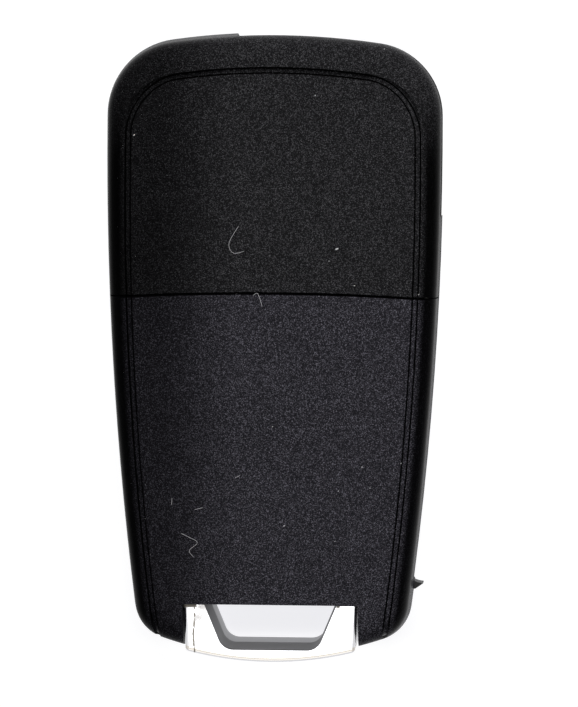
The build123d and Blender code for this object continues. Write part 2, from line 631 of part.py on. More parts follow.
def key_blade():
    """Flat steel blade with a track milled in each face and a pin hole in its tang."""
    half, tip = BLADE_WIDTH / 2, BLADE_TIP_WIDTH / 2
    root_y, end_y = -ARM_LENGTH - FIT, -ARM_LENGTH - BLADE_LENGTH
    shape = Polyline(
        (ARM_OFFSET - half, root_y),
        (ARM_OFFSET - half, end_y + BLADE_TIP_LENGTH),
        (ARM_OFFSET - tip, end_y),
        (ARM_OFFSET + tip, end_y),
        (ARM_OFFSET + half, end_y + BLADE_TIP_LENGTH),
        (ARM_OFFSET + half, root_y),
        close=True,
    )
    blade = prism(make_face(shape), BLADE_LOW_Z, BLADE_HIGH_Z)
    rims = blade.edges().filter_by(Axis.Z, reverse=True)
    blade = chamfer(rims.filter_by(lambda edge: edge.center().Y < root_y - FIT), BLADE_BEVEL)
    blade += tang(join=FIT)
    cut = track()
    blade -= prism(cut, BLADE_HIGH_Z - TRACK_DEPTH, BLADE_HIGH_Z)
    blade -= prism(mirror(cut, Plane.YZ.offset(ARM_OFFSET)), BLADE_LOW_Z, BLADE_LOW_Z + TRACK_DEPTH)
    blade -= pin_place() * prism(Circle(PIN_RADIUS), BLADE_LOW_Z, BLADE_HIGH_Z)
    return FOLDED * blade


def blade_pin():
    """Rolled spring pin with its slit."""
    ring = Circle(PIN_RADIUS) - Circle(PIN_RADIUS - PIN_WALL)
    ring -= block(0, FAR, -PIN_SLIT / 2, PIN_SLIT / 2)
    return FOLDED * pin_place() * prism(ring, HUB_LOW_Z + FIT, HUB_HIGH_Z - FIT)


def release_button():
    """Round button with a skirt for the spring and two lock lugs."""
    top_z = BUTTON_SINK + BUTTON_TOP_THICKNESS
    button = prism(Circle(BUTTON_RADIUS), BUTTON_SINK, BUTTON_SKIRT_Z)
    button = fillet(button.edges().sort_by(Axis.Z)[0], BUTTON_SKIRT_THICKNESS / 2)
    button -= prism(Circle(BUTTON_RADIUS - BUTTON_SKIRT_THICKNESS), top_z, BUTTON_SKIRT_Z)
    lugs = lug_plan(LUG_RADIUS, LUG_WIDTH, LUG_ANGLES) - Circle(BUTTON_RADIUS - BUTTON_SKIRT_THICKNESS / 2)
    button += prism(lugs, LUG_LOW_Z, LUG_HIGH_Z)
    return Location((HUB_X, HUB_Y, 0)) * button


def hub_spring():
    """Torsion spring that throws the blade out and lifts the button."""
    low_z = BUTTON_SINK + BUTTON_TOP_THICKNESS + SPRING_WIRE / 2 + FIT
    high_z = POST_LOW_Z + SPRING_WIRE / 2 + FIT
    wire = Circle(SPRING_WIRE / 2)
    path = Pos(0, 0, low_z) * Helix((high_z - low_z) / SPRING_TURNS, high_z - low_z, SPRING_RADIUS)
    coil = sweep(Plane(path @ 0, z_dir=path % 0) * wire, path=path, is_frenet=True)
    inward = Plane(path @ 1, z_dir=Vector(0, 0, high_z) - path @ 1)
    return Pos(HUB_X, HUB_Y) * (coil + extrude(inward * wire, amount=SPRING_RADIUS + POST_RADIUS))


def hub_washer():
    """Push-on washer that keeps the hub on the rear shell's post."""
    high_z = CUP_FLOOR_Z - FIT
    ring = Circle(WASHER_RADIUS) - Circle(POST_RADIUS)
    return Location((HUB_X, HUB_Y, 0)) * prism(ring, high_z - WASHER_THICKNESS, high_z)


def button_cap():
    """Remote button: a dished cap with a flange that stays under the front wall."""
    cap = prism(RectangleRounded(CAP_WIDTH, CAP_HEIGHT, CAP_CORNER), CAP_SINK, MAT_LOW_Z)
    cap = fillet(cap.faces().sort_by(Axis.Z)[0].edges(), CAP_EDGE)
    reach_out = 2 * CAP_FLANGE_REACH
    flange = RectangleRounded(CAP_WIDTH + reach_out, CAP_HEIGHT + reach_out, CAP_CORNER)
    return cap + prism(flange, CAP_FLANGE_LOW_Z, MAT_LOW_Z)


def keypad_mat():
    """Silicone mat with one nub over each switch."""
    width = CAP_SPACING_X + CAP_WIDTH + 2 * MAT_MARGIN
    height = CAP_SPACING_Y + CAP_HEIGHT + 2 * MAT_MARGIN
    mat = Pos(0, CAP_CENTRE_Y) * prism(RectangleRounded(width, height, CAP_CORNER), MAT_LOW_Z, MAT_HIGH_Z)
    for x, y in cap_places():
        mat += Pos(x, y) * prism(Circle(MAT_NUB_RADIUS), MAT_HIGH_Z, MAT_HIGH_Z + MAT_NUB_HEIGHT)
    return mat


def tact_switch():
    """Surface-mounted switch with a round plunger."""
    body = prism(RectangleRounded(SWITCH_SIZE, SWITCH_SIZE, SWITCH_SIZE / 10), SWITCH_LOW_Z, BOARD_LOW_Z)
    return body + prism(Circle(SWITCH_PLUNGER_RADIUS), PLUNGER_LOW_Z, SWITCH_LOW_Z)


def circuit_board():
    """Board cut to the housing, with a wing for the coil and holes for pegs and the boss."""
    area = block(-FAR, FAR, TONGUE_Y + BOARD_FROM_TONGUE, HUB_Y - BOARD_FROM_HUB)
    area += block(-FAR, BOARD_WING_WIDTH - CASE_HALF_WIDTH, 0, TOP_Y - BOARD_WING_FROM_TOP)
    plan = outline(CASE_FORM, BOARD_INSET) & area
    for x, y in PEG_PLACES:
        plan -= Pos(x, y) * Circle(PEG_PIN_RADIUS + FIT)
    x, y = CASE_SCREW_PLACE
    notch = BOSS_RADIUS + BOARD_HOLE_GAP
    plan -= block(-FAR, x + notch, y - notch, y + notch)
    return prism(plan, BOARD_LOW_Z, BOARD_HIGH_Z)


def chip(size, place, corner=0.1):
    """Moulded package with softened upright edges on the board's rear side."""
    width, height, thickness = size
    package = prism(RectangleRounded(width, height, corner), BOARD_HIGH_Z, BOARD_HIGH_Z + thickness)
    return Pos(*place) * package


def transponder_coil():
    """Wound coil on a bar with square ends."""
    length, width, height = COIL_SIZE
    middle_z = BOARD_HIGH_Z + height / 2
    core = prism(Rectangle(length, width), BOARD_HIGH_Z, BOARD_HIGH_Z + height)
    inner = length - 2 * COIL_END_WIDTH
    core -= prism(Rectangle(inner, width), BOARD_HIGH_Z, BOARD_HIGH_Z + height)
    winding = Pos(0, 0, middle_z) * Rot(0, 90, 0) * Cylinder(width / 2 - FIT, inner)
    return Pos(COIL_X, TOP_Y - COIL_FROM_TOP) * (core + winding)


def passive_components():
    """Group of small resistors and capacitors."""
    group = []
    for row in range(PASSIVE_ROWS):
        for column in range(PASSIVE_COLUMNS):
            x = PASSIVE_PLACE[0] + (column - (PASSIVE_COLUMNS - 1) / 2) * PASSIVE_STEP[0]
            y = PASSIVE_PLACE[1] + (row - (PASSIVE_ROWS - 1) / 2) * PASSIVE_STEP[1]
            group.append(chip(PASSIVE_SIZE, (x, y)).solid())
    return Compound(children=group)


def battery_tray():
    """Moulded ring that stands on the board and holds the cell, with a floor and openings."""
    ring = Circle(TRAY_RADIUS) - Circle(TRAY_RADIUS - TRAY_WALL)
    tray = prism(ring, BOARD_HIGH_Z, TRAY_HIGH_Z)
    tray += prism(Circle(TRAY_RADIUS - TRAY_WALL / 2), TRAY_FLOOR_LOW_Z, TRAY_FLOOR_HIGH_Z)
    window = block(-FAR, FAR, -TRAY_WINDOW_WIDTH / 2, TRAY_WINDOW_WIDTH / 2)
    tray -= prism(window, BOARD_HIGH_Z + BOARD_THICKNESS, TRAY_FLOOR_LOW_Z - FIT)
    half_notch = TRAY_NOTCH_WIDTH / 2
    tray -= prism(block(-half_notch, half_notch, CELL_RADIUS, FAR), TRAY_FLOOR_HIGH_Z - FIT, TRAY_HIGH_Z)
    tray -= prism(block(-half_notch, half_notch, -FAR, -CELL_RADIUS), BOARD_HIGH_Z, TRAY_HIGH_Z)
    return Pos(CELL_X, CELL_Y) * tray


def coin_cell():
    """Cell with the stepped negative can towards the board and the wide positive face up."""
    narrow = CELL_RADIUS - CELL_CAN_STEP
    cell = prism(Circle(narrow), CELL_LOW_Z, CELL_LOW_Z + CELL_RIM_HEIGHT)
    cell += prism(Circle(CELL_RADIUS), CELL_LOW_Z + CELL_RIM_HEIGHT, CELL_HIGH_Z)
    cell = fillet(cell.edges().sort_by(Axis.Z)[-1], CELL_RIM_HEIGHT / 2)
    return Pos(CELL_X, CELL_Y) * cell


def bent_strip(points, width):
    """Thin strip bent along a profile in the plane across the cell."""
    path = FilletPolyline(*points, radius=2 * STRIP_THICKNESS)
    band = offset(path, amount=STRIP_THICKNESS / 2, side=Side.BOTH)
    return extrude(Plane.YZ * make_face(band.edges()), amount=width / 2, both=True)


def battery_clip_positive():
    """Strip that rises from the board beside the tray and presses on the cell's upper face."""
    middle = STRIP_THICKNESS / 2
    outside = -TRAY_RADIUS - middle - FIT
    points = [
        (outside - STRIP_WIDTH / 2, BOARD_HIGH_Z + middle),
        (outside, BOARD_HIGH_Z + middle),
        (outside, CELL_HIGH_Z + middle),
        (-CELL_RADIUS + CLIP_REACH, CELL_HIGH_Z + middle),
    ]
    return Pos(CELL_X, CELL_Y) * bent_strip(points, STRIP_WIDTH)


def battery_spring_negative():
    """Leaf under the cell that comes up through the tray's floor."""
    middle = STRIP_THICKNESS / 2
    outside = TRAY_RADIUS + middle + FIT
    floor_z = TRAY_FLOOR_HIGH_Z + middle
    points = [
        (outside + STRIP_WIDTH / 2, BOARD_HIGH_Z + middle),
        (outside, BOARD_HIGH_Z + middle),
        (outside, floor_z),
        (outside - SPRING_LEAF_REACH, floor_z),
    ]
    return Pos(CELL_X, CELL_Y) * bent_strip(points, STRIP_WIDTH)


def screw(seat_z, length, gap=0.0, head_room=0.0):
    """Screw with a pan head on its seat, or its hole with a gap."""
    shank = prism(Circle(SCREW_RADIUS + gap), seat_z - length, seat_z)
    head_height = head_room or SCREW_HEAD_HEIGHT
    return shank + prism(Circle(SCREW_HEAD_RADIUS + gap), seat_z, seat_z + head_height)


def screw_with_recess(seat_z, length):
    """Screw as driven, with a cross recess in its head."""
    top_z = seat_z + SCREW_HEAD_HEIGHT
    arms = Rectangle(2 * SCREW_RADIUS, SCREW_RADIUS / 2) + Rectangle(SCREW_RADIUS / 2, 2 * SCREW_RADIUS)
    return screw(seat_z, length) - prism(arms, top_z - SCREW_RECESS, top_z)


def case_screw():
    """Screw that holds the rear shell's ledge to the front shell."""
    return Pos(*CASE_SCREW_PLACE) * screw_with_recess(CASE_SCREW_SEAT_Z, CASE_SCREW_LENGTH)


def loop_screws():
    """Two screws through the loop's tongue."""
    made = [
        (Pos(side * LOOP_SCREW_X, LOOP_SCREW_Y) * screw_with_recess(PARTING_Z, LOOP_SCREW_LENGTH)).solid()
        for side in (-1, 1)
    ]
    return Compound(children=made)


def build():
    """Every node of the part by name."""
    body = housing()
    half = rear_half(body)
    nodes = {
        "front_shell": front_shell(body),
        "rear_shell": rear_shell(half),
        "battery_cover": battery_cover(half),
        "key_ring_loop": key_ring_loop(),
        "blade_hub": blade_hub(),
        "key_blade": key_blade(),
        "blade_pin": blade_pin(),
        "release_button": release_button(),
        "hub_spring": hub_spring(),
        "hub_washer": hub_washer(),
        "keypad_mat": keypad_mat(),
        "circuit_board": circuit_board(),
        "microcontroller_chip": chip(CONTROLLER_SIZE, CONTROLLER_PLACE),
        "radio_chip": chip(RADIO_SIZE, RADIO_PLACE),
        "crystal": chip(CRYSTAL_SIZE, CRYSTAL_PLACE, CRYSTAL_SIZE[2] / 2),
        "transponder_coil": transponder_coil(),
        "passive_components": passive_components(),
        "battery_tray": battery_tray(),
        "coin_cell": coin_cell(),
        "battery_clip_positive": battery_clip_positive(),
        "battery_spring_negative": battery_spring_negative(),
        "case_screw": case_screw(),
        "loop_screws": loop_screws(),
    }
    for name, (x, y) in zip(("lock", "unlock", "trunk", "alarm"), cap_places()):
        nodes[f"{name}_button"] = Pos(x, y) * button_cap()
        nodes[f"{name}_switch"] = Pos(x, y) * tact_switch()
    return nodes


os.makedirs("parts", exist_ok=True)
for node_name, shape in build().items():
    export_step(shape, f"parts/{node_name}.step")
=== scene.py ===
import json
import math

import bpy
from bpy.props import FloatProperty, FloatVectorProperty, IntProperty, PointerProperty
from bpy.types import Operator, Panel, PropertyGroup
from mathutils import Matrix, Vector
from mathutils.bvhtree import BVHTree


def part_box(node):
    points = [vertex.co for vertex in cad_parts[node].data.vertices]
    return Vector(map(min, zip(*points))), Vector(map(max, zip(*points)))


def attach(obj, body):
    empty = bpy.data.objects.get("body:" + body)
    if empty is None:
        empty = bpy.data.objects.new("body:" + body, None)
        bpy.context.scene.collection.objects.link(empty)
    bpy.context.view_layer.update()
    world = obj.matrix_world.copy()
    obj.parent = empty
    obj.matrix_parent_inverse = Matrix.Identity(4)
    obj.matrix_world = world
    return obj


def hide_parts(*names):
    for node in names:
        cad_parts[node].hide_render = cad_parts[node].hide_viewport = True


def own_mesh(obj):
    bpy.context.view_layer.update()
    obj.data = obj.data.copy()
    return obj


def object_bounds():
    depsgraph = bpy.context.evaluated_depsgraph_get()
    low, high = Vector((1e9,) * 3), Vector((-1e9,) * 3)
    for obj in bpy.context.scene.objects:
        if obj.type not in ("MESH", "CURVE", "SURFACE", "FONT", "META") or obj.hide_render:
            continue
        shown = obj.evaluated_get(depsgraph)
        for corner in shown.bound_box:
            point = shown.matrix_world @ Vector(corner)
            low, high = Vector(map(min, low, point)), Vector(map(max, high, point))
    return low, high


bl_info = {
    "name": "Flip Key Remote Finishes",
    "version": (1, 0, 0),
    "blender": (4, 5, 0),
    "location": "View3D > Sidebar > Flip Key",
    "description": "Finishes and small details for a folding key remote",
    "category": "Object",
}

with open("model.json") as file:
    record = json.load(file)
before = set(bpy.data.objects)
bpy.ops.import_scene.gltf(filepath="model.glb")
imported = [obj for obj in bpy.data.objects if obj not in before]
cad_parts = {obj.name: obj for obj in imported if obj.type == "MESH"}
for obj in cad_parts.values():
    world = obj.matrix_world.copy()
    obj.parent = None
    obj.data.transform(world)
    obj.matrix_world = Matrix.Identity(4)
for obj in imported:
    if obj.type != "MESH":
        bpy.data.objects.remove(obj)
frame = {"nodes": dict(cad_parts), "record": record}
CAD_LOW, CAD_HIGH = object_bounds()
NODES = frame["nodes"]

MM = 0.001
PARTING_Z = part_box("battery_cover")[0].z
COVER_TOP_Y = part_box("battery_cover")[1].y
REAR_Z = CAD_HIGH.z
CAPS = ("lock", "unlock", "trunk", "alarm")

# The photograph's frame, and the pixel that the remote's middle falls on
PHOTO_WIDTH = 578
PHOTO_HEIGHT = 707
PHOTO_SCALE = 8.11 / MM
MIDDLE_PIXEL = (271.2, 349.2)

# Arcs of the rear face, as centre and radius: two of its border groove, the seam, the loop's outer end
GROOVE_TOP = (0.0, -50.7 * MM, 85.0 * MM)
GROOVE_SIDE = (-402.1 * MM, 20.0 * MM, 420.0 * MM)
SEAM = (0.0, -315.06 * MM, 322.0 * MM)
LOOP_END = (0.0, 3.0 * MM, 42.0 * MM)
GROOVE_CORNER = 6.0 * MM
GROOVE_HALF = 0.33 * MM
SEAM_HALF = 0.12 * MM
REAR_DEPTH = 2.0 * MM

# Spans over which the shells' look changes: painted light across, painted shade outside the groove, along and up
# the side walls, and the side walls' gloss
PAINTED_LIGHT_X = (-14.5 * MM, -2.5 * MM)
RIM = (-1.3 * MM, -0.3 * MM)
HUB_END_Y = (22 * MM, 33 * MM)
RIM_SHADE_Z = (10 * MM, 13 * MM)
SIDE_GLOSS_Z = (12.0 * MM, 14.5 * MM)

# The loop's rear face and the walls of its hole, made satin and painted dark as shade
LOOP_FACE_Y = -31.5 * MM
LOOP_FACE_Z = 13.9 * MM
LOOP_SCUFF_Y = (-32.35 * MM, -32.1 * MM)
LOOP_EDGE = 0.45 * MM
HOLE_HALF = 8.6 * MM
HOLE_END_Y = -37.6 * MM
HOLE_LOW_Z = 8.0 * MM
HOLE_RIM_Z = 14.25 * MM
HOLE_TOP_Z = 14.82 * MM

# Small parts, as the packed solids have them
FOLD_TILT = math.radians(2.9)
PASSIVE_LENGTH = 1.6 * MM
COIL_END = 1.2 * MM
SCREW_HEAD = 3.2 * MM
SCREW_HEAD_HEIGHT = 0.9 * MM
THREAD_RADIUS = 0.82 * MM

# Floor, and the part of it where the remote's shadow is painted
FLOOR_HALF = 1.5
FLOOR_DROP = 0.2 * MM
SHADE_X = (9 * MM, 22 * MM)
SHADE_Y = (36 * MM, 39.5 * MM)
# Softboxes: width and place
LAMPS = {
    "overhead": (0.26, (0.09, -0.06, 0.60)),
    "key": (0.60, (0.10, 0.75, 0.62)),
    "fill": (0.70, (0.0, -0.75, 0.50)),
    "under": (0.50, (0.05, 0.10, -0.60)),
}

BLACK = (0.0, 0.0, 0.0, 1.0)
WHITE = (1.0, 1.0, 1.0, 1.0)

# Lint on the rear face, as routes seen from above
LINT_ROUTES = (
    ((-4.16, 15.1), (-5.3, 13.0), (-4.75, 11.8), (-3.44, 12.04)),
    ((-2.28, 6.6), (-1.71, 6.8), (-1.15, 5.25)),
    ((-11.03, -23.0), (-10.16, -23.4), (-9.04, -24.1), (-10.04, -25.1), (-9.5, -25.9)),
    ((-9.39, -20.0), (-8.39, -19.75)),
    ((-4.36, -16.0), (-3.8, -15.7)),
    ((-12.2, -18.6), (-12.25, -19.4)),
)
# Bright flecks on the rear face: place, then size
FLECKS = (
    (8.0, 12.4, 0.221),
    (7.06, 10.9, 0.085),
    (10.2, 7.9, 0.102),
    (5.2, 31.25, 0.102),
    (13.6, 37.0, 0.085),
    (18.1, 6.85, 0.102),
    (-17.1, 26.25, 0.136),
    (0.2, -9.6, 0.085),
    (11.3, -14.5, 0.102),
    (16.1, -14.0, 0.085),
    (8.4, -17.5, 0.085),
    (12.3, -17.1, 0.085),
    (1.7, -21.9, 0.119),
    (8.0, -23.75, 0.085),
)


def arithmetic(operation, swapped=False):
    """A method that adds a Math node for a socket and one more value."""

    def method(self, value):
        return self.maths(operation, *((value, self) if swapped else (self, value)))

    return method


class Socket:
    """One output of a node, which can be used in arithmetic."""

    __add__ = arithmetic("ADD")
    __radd__ = arithmetic("ADD", swapped=True)
    __sub__ = arithmetic("SUBTRACT")
    __rsub__ = arithmetic("SUBTRACT", swapped=True)
    __mul__ = arithmetic("MULTIPLY")
    __rmul__ = arithmetic("MULTIPLY", swapped=True)
    __lt__ = arithmetic("LESS_THAN")
    __gt__ = arithmetic("GREATER_THAN")
    highest = arithmetic("MAXIMUM")

    def __init__(self, tree, output):
        self.tree = tree
        self.output = output

    def maths(self, operation, *values):
        return self.tree.node("ShaderNodeMath", dict(enumerate(values)), operation=operation)

    def other(self, name):
        """Another output of the same node."""
        return Socket(self.tree, self.output.node.outputs[name])

    def __abs__(self):
        return self.maths("ABSOLUTE", self)

    def fraction(self):
        return self.maths("FRACT", self)

    def root(self):
        return self.maths("SQRT", self)

    def wave(self):
        return self.maths("SINE", self)

    def rise(self, low, high):
        """From 0 at low to 1 at high, smoothly."""
        values = {"Value": self, "From Min": low, "From Max": high}
        return self.tree.node("ShaderNodeMapRange", values, interpolation_type="SMOOTHSTEP")


class Tree:
    """A node tree that is filled by calls."""

    def __init__(self, tree):
        self.tree = tree

    def node(self, kind, values=None, output=0, **settings):
        """Adds a node with its settings and the values or links of its sockets."""
        node = self.tree.nodes.new(kind)
        for name, value in settings.items():
            setattr(node, name, value)
        for name, value in (values or {}).items():
            if isinstance(value, Socket):
                self.tree.links.new(value.output, node.inputs[name])
            else:
                node.inputs[name].default_value = value
        return Socket(self, node.outputs[output])

    def feed(self, shader, **sockets):
        """Links or sets sockets of a shader, named with underscores for spaces."""
        for name, value in sockets.items():
            socket = shader.inputs[name.replace("_", " ").title().replace("Ior", "IOR")]
            if isinstance(value, Socket):
                self.tree.links.new(value.output, socket)
            else:
                socket.default_value = value


class Finish(Tree):
    """A material whose patterns read the piece's own coordinates."""

    def __init__(self, name, **constants):
        self.material = bpy.data.materials.new(name)
        self.material.use_nodes = True
        super().__init__(self.material.node_tree)
        self.shader = self.tree.nodes["Principled BSDF"]
        self.place = self.node("ShaderNodeTexCoord", output="Object")
        self.set(**constants)

    def set(self, **sockets):
        self.feed(self.shader, **sockets)

    def axes(self):
        """The three coordinates of a point, in metres."""
        split = self.node("ShaderNodeSeparateXYZ", {0: self.place})
        return split, split.other("Y"), split.other("Z")

    def noise(self, size, detail=2.0, roughness=0.5, place=None):
        """Cloudy pattern whose blobs are about one size across."""
        values = {"Vector": place or self.place, "Scale": 1 / size, "Detail": detail, "Roughness": roughness}
        return self.node("ShaderNodeTexNoise", values)

    def cells(self, size, **settings):
        """Distance in a pattern of cells of one size."""
        return self.node("ShaderNodeTexVoronoi", {"Vector": self.place, "Scale": 1 / size}, **settings)

    def grains(self, size):
        """One random number from 0 to 1 for each small cell."""
        return self.node("ShaderNodeSeparateColor", {0: self.cells(size).other("Color")})

    def stretched(self, scale, turn=0.0):
        """The coordinates turned about Z and then scaled."""
        values = {"Vector": self.place, "Rotation": (0, 0, turn)}
        turned = self.node("ShaderNodeMapping", values, vector_type="POINT")
        return self.node("ShaderNodeVectorMath", {0: turned, 1: scale}, operation="MULTIPLY")

    def cover(self, shader, factor):
        """Puts another shader over this one where the factor is 1."""
        own = Socket(self, self.shader.outputs[0])
        mixed = self.node("ShaderNodeMixShader", {0: factor, 1: own, 2: shader})
        self.tree.links.new(mixed.output, self.tree.nodes["Material Output"].inputs["Surface"])

    def blend(self, low, high, factor):
        """Colour between two others."""
        return self.node("ShaderNodeMix", {0: factor, 6: low, 7: high}, output=2, data_type="RGBA")

    def tint(self, low, high, factor):
        """Base colour between two others."""
        self.set(base_color=self.blend(low, high, factor))

    def bump(self, height, depth, strength=1.0):
        """Surface relief of a depth in metres from a height of 0 to 1."""
        values = {"Height": height, "Distance": depth, "Strength": strength}
        self.set(normal=self.node("ShaderNodeBump", values))


def shade(colour, factor=1.0):
    """A colour with its alpha, lighter or darker where asked."""
    return tuple(part * factor for part in colour) + (1.0,)


def number(name, description, value, **settings):
    return FloatProperty(name=name, description=description, default=value, **settings)


def length(name, description, millimetres):
    return number(name, description, millimetres * MM, min=0.0, precision=5, unit="LENGTH")


def fraction(name, description, value):
    return number(name, description, value, min=0.0, max=1.0, subtype="FACTOR")


def angle(name, description, degrees):
    return number(name, description, math.radians(degrees), subtype="ANGLE")


def power(name, description, watts):
    return number(name, description, watts, min=0.0, unit="POWER")


def colour(name, description, value):
    return FloatVectorProperty(
        name=name, description=description, default=value, size=3, min=0.0, max=1.0, subtype="COLOR"
    )


class ShellLook(PropertyGroup):
    """Textured black moulding of the housing"""

    upper: colour("Upper rear", "Colour of the upper rear shell", (0.0104, 0.0103, 0.0111))
    lower: colour("Cover", "Colour of the battery cover", (0.0164, 0.0158, 0.0190))
    front: colour("Front", "Colour of the front shell", (0.0082, 0.0082, 0.0090))
    roughness: fraction("Roughness", "Roughness between the grains", 0.42)
    grain: length("Grain", "Size of the spark-eroded grain", 0.16)
    grain_depth: length("Grain depth", "Depth of the grain", 0.035)
    sparkle: number("Sparkle", "How much lighter the lightest grains are", 15.5, min=1.0)
    # Painted shade: how much darker the rim outside the groove is painted
    rim_shade: fraction("Polish", "How much darker the sides are where hands have polished them", 0.93)
    gloss: fraction("Side gloss", "Gloss of the side walls", 0.3)
    # The dark line at the parting is painted shade
    parting_width: length("Parting line", "Width of the dark line between the halves", 0.12)


class PlatingLook(PropertyGroup):
    """Bright plating of the loop and the release button"""

    metal: colour("Plating", "Colour of the plating", (0.86, 0.86, 0.88))
    # The hole's wall colours are painted shade
    hole_shade_high: colour("Inner wall", "Colour of the hole's wall towards the rear", (0.15, 0.15, 0.155))
    hole_shade_low: colour("Inner wall below", "Colour of the hole's wall towards the front", (0.32, 0.32, 0.33))
    hole_rim_shade: colour("Inner rim", "Colour of the line round the hole", (0.02, 0.02, 0.02))
    # Painted highlight along the loop's outer edge
    edge: colour("Worn edge", "Colour of the plating's worn outer edge", (0.66, 0.60, 0.51))
    resin: colour("Bared resin", "Colour where the plating has flaked", (0.40, 0.36, 0.30))
    roughness: fraction("Roughness", "Roughness of the clean plating", 0.10)
    flake_x: number("Flake line", "Place of the flaked line across the loop", -9.45 * MM, unit="LENGTH")
    flake_width: length("Flake width", "Width of the flaked line", 0.14)


class SteelLook(PropertyGroup):
    """Blade, springs, screws and the cell"""

    blade: colour("Blade", "Colour of the blade's metal", (0.47, 0.46, 0.43))
    spring: colour("Spring steel", "Colour of springs and clips", (0.55, 0.55, 0.56))
    screw: colour("Screws", "Colour of the screws", (0.45, 0.45, 0.47))
    cell: colour("Cell", "Colour of the cell's can", (0.58, 0.58, 0.57))
    spring_wire: length("Spring wire", "Thickness of the hub spring's wire", 0.7)
    spring_turns: number("Spring turns", "Turns of the hub spring", 4.5, min=1.0)
    thread_pitch: length("Thread pitch", "Pitch of the screws' threads", 0.6)
    thread_height: length("Thread height", "How far the thread stands off the shank", 0.07)


class CapLook(PropertyGroup):
    """Soft-touch button caps and their printed signs"""

    rubber: colour("Cap", "Colour of the caps", (0.020, 0.020, 0.022))
    ink: colour("Sign", "Colour of the printed signs", (0.62, 0.62, 0.62))
    sign_scale: number("Sign scale", "Size of the signs", 1.25, min=0.1)
    ink_thickness: length("Ink thickness", "How far the ink stands off the cap", 0.03)
    silicone: colour("Mat", "Colour of the keypad mat", (0.32, 0.32, 0.33))


class BoardLook(PropertyGroup):
    """Circuit board and what is soldered to it"""

    mask: colour("Solder mask", "Colour of the solder mask", (0.012, 0.085, 0.035))
    trace: colour("Traces", "Colour of the mask over copper", (0.03, 0.17, 0.07))
    copper: colour("Bare copper", "Colour of gilded pads", (0.80, 0.58, 0.25))
    tin: colour("Solder", "Colour of solder and tinned covers", (0.70, 0.70, 0.68))
    epoxy: colour("Packages", "Colour of the chips", (0.025, 0.025, 0.026))
    wire: colour("Wire", "Colour of the enamelled wire", (0.55, 0.20, 0.07))
    lead_pitch: length("Lead pitch", "Distance between leads", 0.5)
    lead_width: length("Lead width", "Width of a lead", 0.22)
    lead_length: length("Lead length", "Length of a lead", 0.7)
    lead_height: length("Lead height", "Height of a lead over the board", 0.12)
    wire_radius: length("Wire radius", "Radius of the coil's wire", 0.075)
    ceramic: colour("Ceramic", "Colour of the small components", (0.42, 0.31, 0.20))
    nylon: colour("Tray", "Colour of the battery tray", (0.68, 0.67, 0.62))


class DustLook(PropertyGroup):
    """Lint and dust on the rear face"""

    colour: colour("Dust", "Colour of the lint and flecks", (0.86, 0.86, 0.88))
    fibre_radius: length("Fibre radius", "Radius of a lint fibre", 0.023)
    density: number("Dust density", "Fine flecks to the square metre", 130000.0, min=0.0)
    fleck_size: length("Fleck size", "Largest radius of a fine fleck", 0.032)
    seed: IntProperty(name="Seed", description="Seed of the scattered flecks", default=7)


class StageLook(PropertyGroup):
    """Camera, floor and lamps"""

    distance: number("Camera distance", "From the rear face", 0.6, min=0.05, unit="LENGTH")
    lean_x: angle("Camera lean across", "How far the camera leans to the folded blade's side", 3.0)
    lean_y: angle("Camera lean along", "How far the camera leans to the hub's end", 3.5)
    roll: angle("Camera roll", "Turn of the camera about its own axis", 0.35)
    floor: colour("Floor", "Colour of the floor", (0.22, 0.22, 0.23))
    # Painted shadow under the remote
    floor_shade: colour("Under the remote", "What the floor fades to under the remote", (0.86, 0.86, 0.89))
    overhead: power("Overhead lamp", "Power of the softbox above", 0.32)
    key: power("Key lamp", "Power of the lamp beyond the hub's end", 6.0)
    fill: power("Fill lamp", "Power of the lamp beyond the loop", 0.7)
    under: power("Under lamp", "Power of the lamp below the floor", 2.0)
    ambient: fraction("Ambient", "Strength of the surroundings' light", 0.08)
    gloss: fraction("Gloss", "Strength of the surroundings in gloss, overhead", 1.0)
    horizon: fraction("Horizon", "Share of that strength at the horizon", 0.6)
    floor_gloss: fraction("Floor in gloss", "Strength of the floor in gloss", 0.8)


def dress(material, *names):
    """Gives packed nodes a material."""
    for name in names:
        for slot in NODES[name].material_slots:
            slot.material = material


def inside_arc(x, y, circle):
    """How far a point lies inside an arc's circle."""
    away_x, away_y = x - circle[0], y - circle[1]
    return circle[2] - (away_x * away_x + away_y * away_y).root()


def inside_groove(x, y):
    """How far a point of the rear face lies inside the border groove."""
    top = (GROOVE_CORNER - inside_arc(x, y, GROOVE_TOP)).highest(0.0)
    side = (GROOVE_CORNER - inside_arc(abs(x), y, GROOVE_SIDE)).highest(0.0)
    return GROOVE_CORNER - (top * top + side * side).root()


